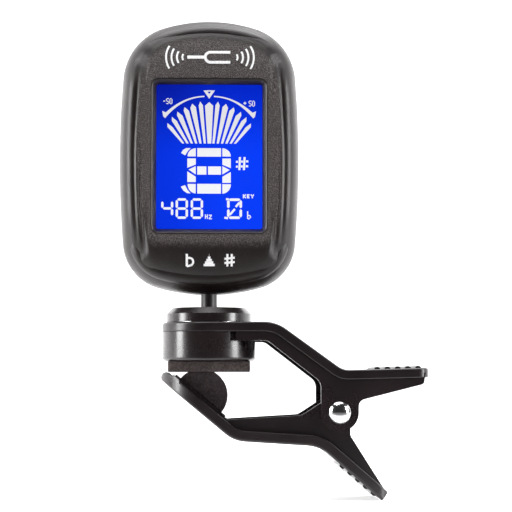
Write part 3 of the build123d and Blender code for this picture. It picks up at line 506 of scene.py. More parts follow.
def digit(lit, x, z, width, height, bar):
    """Seven-segment figure: top, upper left, upper right, middle, lower left, lower right,
    bottom; each bar has pointed ends."""
    gap = bar * 0.18
    h, v = width / 2 - bar / 2, height / 2 - bar / 2
    places = [(0, v, 0), (-h, v / 2, 1), (h, v / 2, 1), (0, 0, 0), (-h, -v / 2, 1), (h, -v / 2, 1),
              (0, -v, 0)]
    shapes = []
    for name, (cx, cz, upright) in zip("abcdefg", places):
        if name not in lit:
            continue
        long = (v / 2 if upright else h) - gap
        b = bar / 2
        shape = np.array([(-long, 0), (-long + b, b), (long - b, b), (long, 0), (long - b, -b),
                          (-long + b, -b)])
        if upright:
            shape = shape[:, ::-1]
        shapes.append(shape + np.array([cx + x, cz + z]))
    return shapes


ART_X = -0.05 * MM
FAN_FOOT = WINDOW_MIDDLE + 3.05 * MM
NOTE_FOOT = WINDOW_MIDDLE - 8.1 * MM


def art(points, foot):
    """Millimetres from the art's middle line and its foot, up to the panel's own place."""
    return np.asarray(points, float) * MM + np.array([ART_X, foot])


def falling(start, end, top, drop, power):
    """A curve that falls away from its top with a power of the distance from the middle."""
    across = np.linspace(start, end, 24)
    return np.stack([across, top - drop * (across / max(start, end)) ** power], -1)


def bars(width, rows):
    """Straight bars of one width, each from a first point across and up to a second."""
    return [stroke([row[:2], row[2:]], width) for row in rows]


def wedge(x, z, reach_x, reach_z):
    """A quarter of an ellipse with its corner at a point."""
    turn = np.linspace(0, math.pi / 2, 9)
    arc = np.stack([np.cos(turn) * reach_x, np.sin(turn) * reach_z], -1)
    return np.concatenate([[(x, z)], arc + np.array((x, z))])


# The arc over the fan, with a flared end, then the pointer's outline and the fan of pointed
# bars. Every size is in millimetres from the fan's foot.
scale_arc = np.concatenate([[(10.41, 7.25)], falling(9.62, 1.06, 10.69, 3.78, 2.35),
                            falling(1.06, 9.785, 10.41, 4.77, 2.45), [(10.17, 6.04)]])
pointer_side = [(1.27, 11.86), (0.59, 11.86), (0.0, 11.07), (0.0, 10.00)]
pointer_top = [(-0.62, 11.89), (0.62, 11.89), (0.39, 11.61), (-0.39, 11.61)]
middle_bar = [(0.0, 9.25), (0.89, 8.44), (0.47, 0.0), (-0.34, 0.0), (-0.93, 8.44)]
fan_shapes = [scale_arc, flipped(scale_arc), pointer_side, flipped(pointer_side), pointer_top,
              middle_bar]
BAR_STEP = 0.954
BAR_FOOT = 0.24
tips = [(1.99, 9.36), (3.76, 8.87), (5.45, 8.10), (7.04, 7.09), (8.27, 5.92), (9.25, 4.52)]
right_shoulders = [(2.33, 8.49), (4.18, 7.93), (5.65, 7.36), (7.14, 6.29), (8.27, 5.03),
                   (9.25, 3.68)]
left_shoulders = [(1.40, 8.57), (2.95, 8.15), (4.50, 7.31), (5.89, 6.17), (7.17, 5.03),
                  (8.10, 3.64)]
for number, (tip, right, left) in enumerate(zip(tips, right_shoulders, left_shoulders), 1):
    foot = BAR_STEP * number
    bar = [tip, right, (foot + BAR_FOOT, 0.0), (foot - BAR_FOOT, 0.0), left]
    fan_shapes += [bar, flipped(bar)]
THIN = 0.19
fifty = bars(THIN, [
    (-8.92, 9.99, -9.43, 9.99), (-9.48, 9.92, -9.48, 9.52), (-9.41, 9.45, -9.03, 9.38),
    (-8.96, 9.31, -8.99, 8.98), (-9.06, 8.87, -9.50, 8.91), (-8.72, 9.89, -8.72, 8.94),
    (-8.65, 9.99, -8.35, 9.99), (-8.25, 9.89, -8.25, 8.94), (-8.65, 8.87, -8.32, 8.87)])
RIGHT_FIFTY = np.array([18.32, -0.47])
fan_shapes += fifty + [bar + RIGHT_FIFTY for bar in fifty]
PLUS_WIDTH = 0.22
fan_shapes += bars(PLUS_WIDTH, [
    (-10.17, 9.45, -9.77, 9.45), (7.61, 9.04, 8.25, 9.04), (7.93, 9.35, 7.93, 9.16),
    (7.93, 8.92, 7.93, 8.74)])

# The large note in blocks with rounded corners, its sharp sign, and the figures under it, in
# millimetres from the note's foot.
note_shapes = [
    [(-2.61, 10.11), (2.65, 10.11), (2.65, 8.23), (-2.61, 8.23)],
    [(-6.19, 9.04), (-5.31, 8.50), (-4.67, 9.50), (-4.07, 10.11), (-5.06, 10.11), (-5.74, 9.72)],
    [(-4.81, 7.81), (-2.95, 7.81), (-2.95, 6.46), (-4.81, 5.74)],
    [(2.95, 7.81), (4.81, 7.81), (4.81, 5.67), (2.95, 6.44)],
    [(-4.52, 5.33), (-2.95, 6.11), (-2.95, 4.25)],
    [(2.95, 6.11), (4.57, 5.26), (2.95, 4.25)],
    [(-2.61, 6.04), (-0.59, 6.04), (-0.59, 4.22), (-2.61, 4.22)],
    [(-0.22, 6.04), (2.65, 6.04), (2.65, 4.22), (-0.22, 4.22)],
    [(-4.81, 4.93), (-2.95, 3.75), (-2.95, 2.56), (-4.81, 2.56)],
    [(2.95, 3.75), (4.81, 4.83), (4.81, 2.40), (2.95, 2.40)],
    [(-2.61, 2.16), (2.65, 2.16), (2.65, 0.0), (-2.61, 0.0)],
    [(-6.24, 1.52), (-5.31, 1.86), (-4.74, 0.81), (-4.07, 0.03), (-4.88, 0.10), (-5.65, 0.64)]]
note_shapes += [wedge(-2.95, 8.27, -1.82, 1.82), wedge(2.95, 8.27, 1.86, 1.82),
                wedge(-2.95, 2.13, -1.79, -2.09), wedge(2.95, 2.09, 1.89, -2.09)]
SIGN_WIDTH = 0.46
note_shapes += bars(SIGN_WIDTH, [
    (6.70, 5.26, 6.83, 8.15), (7.71, 5.26, 7.88, 8.15), (5.96, 7.09, 6.39, 7.10),
    (7.10, 7.14, 7.51, 7.15), (8.18, 7.19, 8.69, 7.20), (5.96, 6.01, 6.36, 6.02),
    (7.05, 6.06, 7.46, 6.07), (8.11, 6.11, 8.65, 6.12)])
FIGURE_Z = -3.34
FIGURE_HEIGHT = 4.56
FIGURE_BAR = 0.52
note_shapes += digit("bcdf", -9.23, -3.31, 2.67, 3.81, FIGURE_BAR)
for x in (-6.01, -2.68):
    note_shapes += digit("abcdefg", x, FIGURE_Z, 2.73, FIGURE_HEIGHT, FIGURE_BAR)
note_shapes += digit("abcefg", 5.65, FIGURE_Z, 3.31, FIGURE_HEIGHT, 0.56)
note_shapes += bars(SIGN_WIDTH, [
    (5.92, -2.94, 6.73, -1.99), (4.61, -4.69, 5.72, -3.41), (3.76, -1.25, 4.37, -1.25),
    (3.42, -5.33, 4.20, -5.47)])
SMALL_WIDTH = 0.2
LETTER_WIDTH = 0.24
note_shapes += bars(SMALL_WIDTH, [
    (-0.79, -4.62, -0.79, -5.60), (-0.35, -4.62, -0.35, -5.60), (-0.69, -5.11, -0.46, -5.11),
    (-0.05, -4.79, 0.62, -4.79), (0.56, -4.89, 0.02, -5.50), (-0.05, -5.60, 0.66, -5.60)])
note_shapes += bars(LETTER_WIDTH, [
    (7.61, -0.13, 7.61, -1.01), (8.11, -0.17, 7.81, -0.54), (7.81, -0.64, 8.15, -0.98),
    (8.49, -0.13, 8.49, -1.01), (8.62, -0.24, 8.96, -0.24), (8.62, -0.57, 8.89, -0.57),
    (8.62, -0.91, 8.96, -0.91), (9.26, -0.17, 9.50, -0.54), (9.90, -0.17, 9.67, -0.54),
    (9.58, -0.61, 9.58, -1.01)])
note_shapes += bars(LETTER_WIDTH, [
    (8.55, -3.91, 8.55, -5.60), (8.69, -4.79, 9.19, -4.96), (9.26, -5.06, 9.03, -5.43),
    (8.96, -5.50, 8.69, -5.65)])
LENS_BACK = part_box("display_window")[1].y
film_front = LENS_BACK + 0.03 * MM
film_back = LCD_LO.y - 0.02 * MM
shapes = [art(shape, FAN_FOOT) for shape in fan_shapes]
shapes += [art(shape, NOTE_FOOT) for shape in note_shapes]
film_points, film_faces = prisms(shapes, film_front, film_back)
film_paint = Paint("display_white", Specular_IOR_Level=0.1, Base_Color=(0.02, 0.02, 0.02, 1.0),
                   Emission_Strength=1.0)
film_up = (film_paint.axis("Z") - LCD_LO.z) * (1 / (LCD_HI.z - LCD_LO.z))
film_mix = film_up.over(0.45, 0.8) + film_paint.noise(700.0) * 0.15
film_paint.set(Emission_Color=film_paint.mix(film_mix, sRGB(248, 249, 253), sRGB(230, 228, 232)))
film_paint.set(Roughness=0.35 + film_paint.noise(900.0) * 0.1)
mesh_piece("display_segments", film_points, film_faces, "head", film_paint, smooth=False)


# Printed marks. White pad-printed signs on the case: a tuning fork with sound waves above the
# window, and flat, pointer and sharp signs below it.
def on_face(shapes, lift=0.035 * MM):
    """Lays flat strips on the case: each point takes the height of the nearest points on the
    case's forward rings, weighted by closeness."""
    face = rings[4:-9].reshape(-1, 3)
    laid = []
    for strip in shapes:
        strip = np.asarray(strip, float)
        gap = np.linalg.norm(strip[:, None, :] - face[None][:, :, [0, 2]], axis=2)
        near = np.argpartition(gap, 4, axis=1)[:, :4]
        weight = 1 / (np.take_along_axis(gap, near, 1) + 1e-6)
        height = (face[near, 1] * weight).sum(1) / weight.sum(1)
        laid.append(np.stack([strip[:, 0], height - lift, strip[:, 1]], -1))
    return laid


def ribbon(points, width, spacing=0.28 * MM):
    """A printed line: resampled evenly, then two points across at every step."""
    points = np.asarray(points, float)
    length = np.concatenate([[0], np.cumsum(np.linalg.norm(np.diff(points, axis=0), axis=1))])
    walk = np.linspace(0, length[-1], max(3, int(length[-1] / spacing) + 1))
    line = np.stack([np.interp(walk, length, points[:, axis]) for axis in (0, 1)], -1)
    step = np.gradient(line, axis=0)
    step /= np.maximum(np.linalg.norm(step, axis=1, keepdims=True), 1e-12)
    side = np.stack([-step[:, 1], step[:, 0]], -1) * width / 2
    return np.stack([line + side, line - side], 1).reshape(-1, 2)


def printed(name, lines, body, paint, place, thick=0.06 * MM, outward=-1.0):
    """Thin closed strips along printed lines: front and back pairs of points per step."""
    points, faces = [], []
    start = 0
    for strip in place(lines):
        back = strip + np.array([0.0, -outward * thick, 0.0])
        block = np.stack([strip[0::2], strip[1::2], back[1::2], back[0::2]], 1)
        size = len(block)
        faces += (start + ring_faces(size, 4)).tolist()
        faces += [[start, start + 3, start + 2, start + 1][::-1],
                  list(range(start + 4 * size - 4, start + 4 * size))]
        points.append(block.reshape(-1, 3))
        start += 4 * size
    return mesh_piece(name, np.concatenate(points), faces, body, paint, smooth=False)


print_paint = Paint("print_white", Specular_IOR_Level=0.4)
wear = print_paint.noise(2500.0, 4.0)
ink = print_paint.mix(wear.over(0.3, 0.75), sRGB(250, 250, 250), sRGB(226, 226, 228))
print_paint.set(Base_Color=ink)
print_paint.set(Roughness=0.5 + wear * 0.2)
print_paint.bump(wear, 0.2, 0.00002)


def polar(radius, start, end, centre):
    """An arc of a circle between two angles in degrees."""
    turn = np.radians(np.linspace(start, end, 25))
    return np.stack([centre[0] + radius * np.cos(turn), centre[1] + radius * np.sin(turn)], -1)


TOP_MARK_Z = HEAD_HIGH - 9.2 * MM
FORK_HALF = 1.15 * MM
FORK_END = 4.6 * MM
bow = polar(FORK_HALF, 90, 270, (0.2 * MM, TOP_MARK_Z))
prong = np.concatenate([[(FORK_END, TOP_MARK_Z + FORK_HALF)], bow,
                        [(FORK_END, TOP_MARK_Z - FORK_HALF)]])
fork = [ribbon(prong, 0.62 * MM),
        ribbon([(-4.9 * MM, TOP_MARK_Z), (-0.9 * MM, TOP_MARK_Z)], 0.7 * MM)]
for radius in (1.3, 2.5, 3.7, 4.9):
    fork.append(ribbon(polar(radius * MM, -32, 32, (4.9 * MM, TOP_MARK_Z)), 0.42 * MM))
    fork.append(ribbon(polar(radius * MM, 148, 212, (-4.7 * MM, TOP_MARK_Z)), 0.42 * MM))
LOW_MARK_Z = HEAD_LOW + 7.2 * MM
height = 1.35 * MM
signs = [ribbon([(-4.9 * MM, LOW_MARK_Z + height), (-4.9 * MM, LOW_MARK_Z - height)], 0.5 * MM)]
signs.append(ribbon(np.concatenate([
    polar(0.85 * MM, 110, -60, (-4.35 * MM, LOW_MARK_Z - 0.35 * MM)),
    [(-4.9 * MM, LOW_MARK_Z - height)]]), 0.46 * MM))
for rise in np.linspace(-0.8, 0.8, 5):
    half = (1.3 - 0.78 * (rise + 0.9)) * MM
    signs.append(ribbon([(-half, LOW_MARK_Z + rise * 1.3 * MM), (half, LOW_MARK_Z + rise * 1.3 * MM)],
                        0.54 * MM))
for x in (4.0, 4.95):
    signs.append(ribbon([(x * MM, LOW_MARK_Z - height), (x * MM, LOW_MARK_Z + height)], 0.46 * MM))
for rise in (-0.5, 0.42):
    signs.append(ribbon([(3.35 * MM, LOW_MARK_Z + (rise - 0.12) * MM),
                         (5.6 * MM, LOW_MARK_Z + (rise + 0.12) * MM)], 0.46 * MM))
printed("front_marks", fork + signs, "head", print_paint, on_face)

# Back marks. The same white print on the back: a power sign, minus and plus by the buttons, and
# an arrow by the cell cap that shows which way it turns.
REAR_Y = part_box("rear_case")[1].y
CAP_LO, CAP_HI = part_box("battery_cap")
KEY_LO, KEY_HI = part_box("power_button")
DOWN_LO, DOWN_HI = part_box("down_button")
UP_LO, UP_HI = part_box("up_button")


def on_back(lines):
    """Lays flat strips on the flat back of the case."""
    return [np.stack([s[:, 0], np.full(len(s), REAR_Y + 0.005 * MM), s[:, 1]], -1) for s in lines]


def middle(lo, hi):
    """Middle of a box, across and up."""
    return (lo.x + hi.x) / 2, (lo.z + hi.z) / 2


cap_x, cap_z = middle(CAP_LO, CAP_HI)
cap_r = (CAP_HI.x - CAP_LO.x) / 2
key_rise = 4.3 * MM
key_x, key_z = middle(KEY_LO, KEY_HI)
down_x, _ = middle(DOWN_LO, DOWN_HI)
up_x, _ = middle(UP_LO, UP_HI)
sign_z = key_z + key_rise
back_lines = [ribbon(polar(0.75 * MM, 125, 415, (key_x, sign_z)), 0.24 * MM, 0.15 * MM),
              ribbon([(key_x, sign_z + 0.2 * MM), (key_x, sign_z + 1.0 * MM)], 0.24 * MM),
              ribbon([(down_x - 0.7 * MM, sign_z), (down_x + 0.7 * MM, sign_z)], 0.26 * MM),
              ribbon([(up_x - 0.7 * MM, sign_z), (up_x + 0.7 * MM, sign_z)], 0.26 * MM),
              ribbon([(up_x, sign_z - 0.7 * MM), (up_x, sign_z + 0.7 * MM)], 0.26 * MM),
              ribbon(polar(cap_r + 1.5 * MM, 22, 52, (cap_x, cap_z)), 0.32 * MM),
              ribbon([(cap_x + (cap_r + 0.75 * MM) * 0.66, cap_z + (cap_r + 1.5 * MM) * 0.72),
                      (cap_x + (cap_r + 1.5 * MM) * 0.616, cap_z + (cap_r + 1.5 * MM) * 0.788),
                      (cap_x + (cap_r + 2.5 * MM) * 0.68, cap_z + (cap_r + 1.5 * MM) * 0.76)],
                     0.3 * MM)]
printed("back_marks", back_lines, "head", print_paint, on_back, 0.012 * MM, 1.0)

# Cell cap. A round lid moulded in the case's plastic, with a slot for a coin. An eighth of a turn
# moves its lugs under the ledge in the rear case, which holds the cell in.
finish_node("battery_cap", "cell_cap", case_paint)

# Buttons. Three flush keys moulded in a softer, slightly lighter plastic. Each slides in its own
# hole in the rear case and pushes a plunger.
button_paint = moulded("button_plastic", sRGB(56, 49, 49), sRGB(66, 59, 59), 0.45, 4200.0, 0.00004)
finish_node("power_button", "power_key", button_paint)
finish_node("down_button", "down_key", button_paint)
finish_node("up_button", "up_key", button_paint)

# Plungers and switches. Small red posts that the keys press, in push switches soldered to the
# board, beside the moulded controller chip and small parts.
plunger_paint = moulded("plunger_plastic", sRGB(150, 38, 32), sRGB(170, 48, 40), 0.4, 3000.0, 0.00002)
finish_node("power_plunger", "power_key", plunger_paint)
finish_node("down_plunger", "down_key", plunger_paint)
finish_node("up_plunger", "up_key", plunger_paint)
resin_paint = moulded("chip_resin", sRGB(24, 24, 25), sRGB(36, 36, 37), 0.5, 2600.0, 0.00003)
for part in ("tact_switches", "controller_chip", "board_components"):
    finish_node(part, "head", resin_paint)

# Circuit board. Glass-fibre sheet cut to the case's inside, with a green solder mask and faint
# copper tracks under it. It rests on the case's screw posts.
board_paint = Paint("board_mask", Coat_Weight=0.3, Coat_Roughness=0.2)
tracks = board_paint.node("ShaderNodeTexBrick", {"offset": 0.35}, Vector=board_paint.place, Scale=420.0,
                          Mortar_Size=0.06)
mask = Maths(board_paint.tree, tracks.outputs["Fac"])
board_paint.set(Base_Color=board_paint.mix(mask, sRGB(16, 92, 46), sRGB(34, 128, 66)))
board_paint.set(Roughness=0.35 + board_paint.noise(300.0) * 0.15)
board_paint.bump(mask, 0.4, 0.00003)
finish_node("circuit_board", "head", board_paint, smooth=False)

# Light guide, lamps, frame and contact strip. The stack behind the display: a clear acrylic
# plate lit from its edge, a moulded frame that holds it, and a layered rubber strip that
# joins the glass to the board.
guide_paint = moulded("light_guide", sRGB(225, 232, 240), sRGB(238, 243, 250), 0.25, 1500.0, 0.00002,
                      coat=0.3)
finish_node("light_guide", "head", guide_paint, smooth=False)
lamp_paint = moulded("led_package", sRGB(232, 232, 218), sRGB(245, 245, 236), 0.3, 1500.0, 0.00001)
finish_node("backlight_leds", "head", lamp_paint, smooth=False)
acetal_paint = moulded("seat_plastic", sRGB(214, 212, 204), sRGB(228, 226, 220), 0.38, 2200.0, 0.00002)
finish_node("lcd_frame", "head", acetal_paint, smooth=False)
strip_paint = Paint("contact_rubber")
layers = strip_paint.node("ShaderNodeTexWave", {"bands_direction": "X"}, Vector=strip_paint.place,
                          Scale=1600.0, Distortion=0.2)
layer = Maths(strip_paint.tree, layers.outputs["Fac"])
strip_paint.set(Base_Color=strip_paint.mix(layer, sRGB(120, 124, 130), sRGB(196, 200, 204)))
strip_paint.set(Roughness=0.55 + layer * 0.1)
finish_node("contact_rubber", "head", strip_paint, smooth=False)


# Cell and contacts. A plated steel coin cell, held between a bowed spring strip on the board and
# a bent side strip, both stamped from spring steel.
def steel(name, dark, light, rough, stretch=(1.0, 1.0, 1.0), streaks=900.0):
    """Bare or plated metal: fine streaks along one direction, cloudy tone, brighter rubbed edges."""
    paint = Paint(name, Metallic=1.0)
    mapping = paint.node("ShaderNodeMapping", None, Vector=paint.place, Scale=stretch)
    streak = paint.node("ShaderNodeTexNoise", Vector=mapping.outputs[0], Scale=streaks, Detail=3.0)
    streak = Maths(paint.tree, streak.outputs["Fac"])
    cloud = paint.noise(160.0, 3.0)
    tone = paint.mix(streak * 0.6 + cloud * 0.4, dark, light)
    paint.set(Base_Color=paint.mix(paint.edges() * 0.4, tone, (0.9, 0.9, 0.9, 1.0)))
    paint.set(Roughness=rough + streak * 0.08 + cloud * 0.05)
    return paint.bump(streak, 0.12, 0.00002)


cell_paint = steel("cell_steel", (0.48, 0.48, 0.49, 1), (0.7, 0.7, 0.71, 1), 0.18)
finish_node("coin_cell", "head", cell_paint)
spring_paint = steel("spring_steel", (0.5, 0.5, 0.52, 1), (0.72, 0.72, 0.74, 1), 0.22,
                     stretch=(1, 0.15, 1), streaks=1500.0)
finish_node("negative_contact", "head", spring_paint, smooth=False)
finish_node("positive_contact", "head", spring_paint, smooth=False)

# Case screws. Four pan-head steel screws with crossed recesses, zinc plated, driven from the
# back into the front case's posts.
screw_paint = steel("screw_steel", (0.05, 0.05, 0.052, 1), (0.11, 0.11, 0.115, 1), 0.3)
finish_node("case_screws", "head", screw_paint)

# Ball stem. Turned metal with a black satin coating: a ball, a slim neck and a flange held in
# the case.
stem_paint = moulded("stem_coating", sRGB(14, 8, 10), sRGB(20, 13, 15), 0.38, 2400.0, 0.00001)
finish_node("ball_stem", "head", stem_paint)
lead_paint = moulded("wire_cover", sRGB(150, 30, 26), sRGB(172, 44, 38), 0.45, 1800.0, 0.00001)
finish_node("stem_lead", "head", lead_paint)
finish_node("sensor_lead", "clip", lead_paint)

# Swivel collar and sensor cup. Turned-looking mouldings with a polished surface; the cup holds
# the piezo disc, and the collar turns on it.
gloss_paint = moulded("gloss_plastic", sRGB(20, 14, 15), sRGB(27, 20, 21), 0.26, 3200.0, 0.000003,
                      coat=0.15, grain_rough=0.03)
finish_node("swivel_collar", "collar", gloss_paint)
finish_node("sensor_cup", "clip", gloss_paint)
for part in ("seat_upper", "seat_lower", "seat_ring"):
    finish_node(part, "collar", acetal_paint)
finish_node("swivel_clip", "collar", spring_paint)
finish_node("friction_washer", "clip", spring_paint)

# Piezo sensor. A stamped brass disc with a silvered ceramic disc on it, bonded to the cup's
# floor, where it feels the instrument shake.
brass_paint = steel("brass_plate", (0.62, 0.44, 0.17, 1), (0.78, 0.6, 0.28, 1), 0.25)
finish_node("piezo_plate", "clip", brass_paint)
ceramic_paint = moulded("ceramic", sRGB(206, 204, 196), sRGB(222, 220, 214), 0.35, 2600.0, 0.00001)
finish_node("piezo_ceramic", "clip", ceramic_paint)

# Levers. Two glass-filled nylon mouldings with a bent plate, ribs and side walls, satin
# finished. The lower one carries a thin strip for the half-round pad.
lever_paint = moulded("lever_plastic", sRGB(18, 11, 13), sRGB(25, 17, 19), 0.27, 3600.0, 0.00001,
                      grain_rough=0.05)
finish_node("upper_jaw", "clip", lever_paint)
finish_node("lower_jaw", "jaw", lever_paint)
finish_node("pad_carrier", "jaw", lever_paint, smooth=False)

# Rivet. Chromed steel, pushed through both levers. One end is a domed head and the other is
# a domed cap pressed on.
chrome_paint = steel("chrome", (0.72, 0.72, 0.73, 1), (0.84, 0.84, 0.85, 1), 0.06)
finish_node("pivot_pin", "clip", chrome_paint)
finish_node("pin_cap", "clip", chrome_paint)

# Spring. Hard-drawn steel wire coiled round the rivet. One leg presses under the upper handle
# and the other on the lower handle, so the coil winds up as the jaw opens.
COIL_RADIUS = 2.95 * MM
WIRE_RADIUS = 0.55 * MM
COIL_PITCH = 1.25 * MM
FIRST_ANGLE = 106.0
LAST_ANGLE = 1653.0
UPPER_LEG = 14.68 * MM
LOWER_LEG = 9.87 * MM


def spring_wire(samples=145, around=12):
    """A tube along a straight leg, a helix about the rivet's axis and a second straight leg. Each
    ring lies in the plane of the coil's outward direction and the wire's own sideways direction."""
    pin_lo, pin_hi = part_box("pivot_pin")
    angle = np.radians(np.linspace(FIRST_ANGLE, LAST_ANGLE, samples))
    angle = np.concatenate([angle[:1], angle, angle[-1:]])
    leg = np.zeros(len(angle))
    leg[0], leg[-1] = -UPPER_LEG, LOWER_LEG
    fall = COIL_PITCH / (2 * math.pi)
    half = fall * math.radians(LAST_ANGLE - FIRST_ANGLE) / 2
    zero = np.zeros(len(angle))
    outward = np.stack([np.cos(angle), zero, np.sin(angle)], -1)
    tangent = np.stack([-np.sin(angle) * COIL_RADIUS, zero - fall, np.cos(angle) * COIL_RADIUS], -1)
    tangent /= math.hypot(COIL_RADIUS, fall)
    sideways = np.cross(tangent, outward)
    axis = np.stack([zero + (pin_lo.x + pin_hi.x) / 2, half - fall * (angle - angle[0]),
                     zero + (pin_lo.z + pin_hi.z) / 2], -1)
    line = axis + outward * COIL_RADIUS + tangent * leg[:, None]
    turn = np.linspace(0, 2 * math.pi, around, endpoint=False)
    ring = (outward[:, None] * np.cos(turn)[None, :, None]
            + sideways[:, None] * np.sin(turn)[None, :, None])
    return line[:, None] + ring * WIRE_RADIUS, half


wire_rows, half_coil = spring_wire()
wire_points, wire_faces = closed_solid(wire_rows)
spring = mesh_piece("torsion_spring_wire", wire_points, wire_faces, None, spring_paint)
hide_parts("torsion_spring")
half_coil - WIRE_RADIUS
WIRE_RADIUS - half_coil
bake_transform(spring)


# Flat pad. A block of synthetic rubber glued under the cup, with slightly rounded edges and a
# pimpled surface.
def rubber(name, dark, light, grain, depth):
    """Matte rubber: pimpled, dusty on top, faintly scuffed."""
    paint = Paint(name, Specular_IOR_Level=0.3)
    pimple = paint.noise(grain, 2.0, 0.7)
    dust = paint.noise(60.0, 4.0, 0.7)
    base = paint.mix(pimple.over(0.35, 0.7), dark, light)
    base = paint.mix(dust.over(0.55, 0.8) * 0.18, base, sRGB(128, 122, 120))
    paint.set(Base_Color=base, Roughness=0.72 + dust * 0.16)
    return paint.bump(pimple, 0.8, depth)


def sweep_profile(profile, inset_at, y_at):
    """A closed profile in X and Z carried along Y; at each step it shrinks towards its middle by
    an inset, so the two ends are rounded."""
    centre = profile.mean(0)
    away = profile - centre
    length = np.linalg.norm(away, axis=1, keepdims=True)
    rows = [centre + away * (1 - inset / length) for inset in inset_at]
    return np.array([np.stack([r[:, 0], np.full(len(r), y), r[:, 1]], -1) for r, y in zip(rows, y_at)])


def rounded_block(lo, hi, corner, edge):
    """A block with rounded upright corners and rolled edges: rings of a rounded rectangle
    stacked along Z."""
    centre, half = (np.array(lo) + np.array(hi)) / 2, (np.array(hi) - np.array(lo)) / 2
    turn = np.linspace(0, math.pi / 2, 9)
    quarter = np.stack([np.cos(turn), np.sin(turn)], -1)
    roll = np.linspace(0, math.pi / 2, 7)
    insets = np.concatenate([edge * (1 - np.sin(roll)), edge * (1 - np.cos(roll))])
    heights = np.concatenate([-half[2] + edge * (1 - np.cos(roll)), half[2] - edge * (1 - np.sin(roll))])
    rows = []
    for inset, z in zip(insets, heights):
        core = half[:2] - corner
        ring = [quarter * (corner - inset) @ np.array([[math.cos(a), math.sin(a)],
                                                       [-math.sin(a), math.cos(a)]])
                + core * np.array(s)
                for a, s in ((0, (1, 1)), (math.pi / 2, (-1, 1)), (math.pi, (-1, -1)),
                             (1.5 * math.pi, (1, -1)))]
        ring = np.concatenate(ring) + centre[:2]
        rows.append(np.column_stack([ring, np.full(len(ring), centre[2] + z)]))
    return np.array(rows)


PAD_LO, PAD_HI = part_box("headstock_pad")
pad_rows = rounded_block(PAD_LO, PAD_HI, 0.6 * MM, 0.18 * MM)
pad_points, pad_faces = closed_solid(pad_rows)
pad_paint = rubber("pad_rubber", sRGB(56, 47, 47), sRGB(84, 75, 74), 2600.0, 0.00012)
flat_pad = mesh_piece("headstock_pad_rubber", pad_points, pad_faces, "clip", pad_paint)
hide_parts("headstock_pad")

# Half-round pad. Softer rubber on the lower lever, moulded on a thin backing strip; its crown is
# pressed flat where the closed jaw meets the upper pad.
GRIP_LO, GRIP_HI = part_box("grip_pad")
GRIP_RADIUS = 5.84 * MM
GRIP_ANGLE = math.radians(39.655)
SLOPE = np.array([math.cos(GRIP_ANGLE), -math.sin(GRIP_ANGLE)])
RISE = np.array([math.sin(GRIP_ANGLE), math.cos(GRIP_ANGLE)])
grip_centre = np.array([GRIP_HI.x - GRIP_RADIUS, GRIP_LO.z - GRIP_RADIUS * SLOPE[1]])
sweep = np.linspace(0, math.pi, 97)[:, None]
crown = grip_centre + GRIP_RADIUS * (np.cos(sweep) * SLOPE + np.sin(sweep) * RISE)
crown[:, 1] = np.minimum(crown[:, 1], GRIP_HI.z)
base_line = np.linspace(0, 1, 25)[1:-1, None]
profile = np.concatenate([crown, crown[-1] + (crown[0] - crown[-1]) * base_line])
roll = np.linspace(0, math.pi / 2, 7)
edge = 0.3 * MM
insets = np.concatenate([edge * (1 - np.sin(roll)), edge * (1 - np.cos(roll))])
steps = np.concatenate([GRIP_LO.y + edge * (1 - np.cos(roll)), GRIP_HI.y - edge * (1 - np.sin(roll))])
grip_points, grip_faces = closed_solid(sweep_profile(profile, insets, steps))
grip_paint = rubber("grip_rubber", sRGB(30, 22, 24), sRGB(48, 39, 41), 2000.0, 0.0001)
grip = mesh_piece("grip_pad_rubber", grip_points, grip_faces, "jaw", grip_paint)
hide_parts("grip_pad")

# Floor. A seamless paper sheet under the tuner, curving up behind it, pale under and behind the
# tuner. In front it is painted dark as painted shade, and it glows as painted light: dimly near
# the tuner, fully far behind and more so to the sides.
floor_paint = Paint("floor_paper", Roughness=0.9, Specular_IOR_Level=0.1)
paper = floor_paint.noise(12.0, 3.0)
sheet_tone = floor_paint.mix(paper, (0.9, 0.9, 0.9, 1), (0.94, 0.94, 0.94, 1))
# Painted shade: the floor in front of the tuner is dark and does not glow.
front_shade_fade = floor_paint.axis("Y").over(-0.07, -0.015)
floor_paint.set(Base_Color=floor_paint.mix(front_shade_fade, (0.1, 0.1, 0.1, 1), sheet_tone))
aside = floor_paint.axis("X")
# Painted light: the floor's glow, dim near the tuner and full far behind, more to the sides.
painted_glow_far = floor_paint.axis("Y").over(0.2, 0.8) * ((aside * aside).over(0.02, 0.2) * 0.75 + 0.25)
shade = floor_paint.mix(front_shade_fade, (0, 0, 0, 1), (0.25, 0.25, 0.25, 1))
floor_paint.set(Emission_Color=floor_paint.mix(painted_glow_far, shade, (1, 1, 1, 1)), Emission_Strength=1.9)
FLOOR_Z = start_bounds[0].z - 0.1 * MM
bend = np.linspace(0, math.pi / 2, 24)
sweep_y = np.concatenate([[-2.0, 0.4], 0.9 + 0.5 * np.sin(bend), [1.4]])
sweep_z = np.concatenate([[0.0, 0.0], 0.5 * (1 - np.cos(bend)), [3.0]]) + FLOOR_Z
sheet = np.stack([np.stack([np.full(len(sweep_y), x), sweep_y, sweep_z], -1) for x in (-3.0, 3.0)], 1)
sheet_mesh = bpy.data.meshes.new("floor")
cell = np.arange(len(sweep_y) - 1)[:, None] * 2
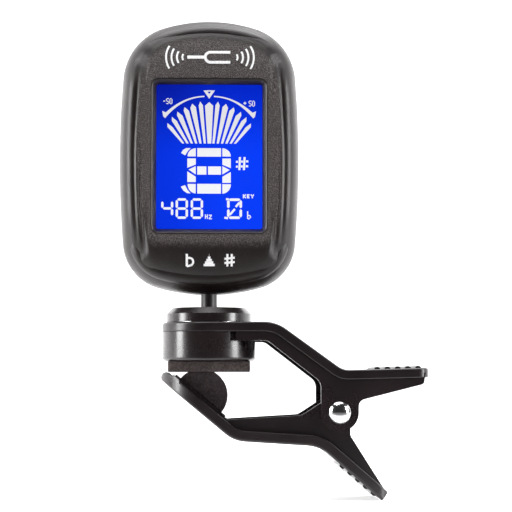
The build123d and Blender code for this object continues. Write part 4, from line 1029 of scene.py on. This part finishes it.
sheet_mesh.from_pydata(sheet.reshape(-1, 3).tolist(), [], (cell + np.array([0, 1, 3, 2])).tolist())
floor = bpy.data.objects.new("floor", sheet_mesh)
bpy.context.scene.collection.objects.link(floor)
sheet_mesh.materials.append(floor_paint.material)
sheet_mesh.shade_smooth()

# Light. A white room, dimmer on the camera's side, with tall soft boxes at the left and right
# and a wide one above.
world = bpy.data.worlds.new("room")
bpy.context.scene.world = world
world.use_nodes = True
room = world.node_tree
background = room.nodes["Background"]
direction = room.nodes.new("ShaderNodeTexCoord").outputs["Generated"]
split = room.nodes.new("ShaderNodeSeparateXYZ")
room.links.new(direction, split.inputs[0])
behind = Maths(room, split.outputs["Y"]).over(-0.15, 0.35)
plug(room, background.inputs["Strength"], 0.03 + behind * 1.7)
background.inputs["Color"].default_value = (1.0, 1.0, 1.0, 1.0)


def softbox(name, at, aim, width, height, power):
    """A rectangular lamp that faces a point."""
    lamp = bpy.data.lights.new(name, "AREA")
    lamp.shape, lamp.size, lamp.size_y, lamp.energy = "RECTANGLE", width, height, power
    box = bpy.data.objects.new(name, lamp)
    bpy.context.scene.collection.objects.link(box)
    box.location = at
    box.rotation_euler = (Vector(aim) - Vector(at)).to_track_quat("-Z", "Y").to_euler()
    return box


AIM = (0.01, 0.0, 0.02)
softbox("left_softbox", (-0.41, -0.1, 0.05), AIM, 0.13, 0.5, 4.0)
softbox("right_softbox", (0.4, -0.17, 0.05), AIM, 0.12, 0.5, 3.7)
softbox("top_softbox", (0.0, 0.02, 0.55), AIM, 0.6, 0.35, 4.3)

# Camera. A long lens level with the clip, a little below the display's middle, looking
# slightly up.
camera = bpy.data.objects.new("camera", bpy.data.cameras.new("camera"))
bpy.context.scene.collection.objects.link(camera)
camera.location = (-0.0009, -0.4, -0.0018)
sight = Vector((0.0105, 0.0, 0.0259)) - camera.location
camera.rotation_euler = sight.to_track_quat("-Z", "Y").to_euler()
camera.data.lens = 126.0
camera.data.clip_start = 0.01
bpy.context.scene.camera = camera
bpy.context.scene.view_settings.view_transform = "Standard"
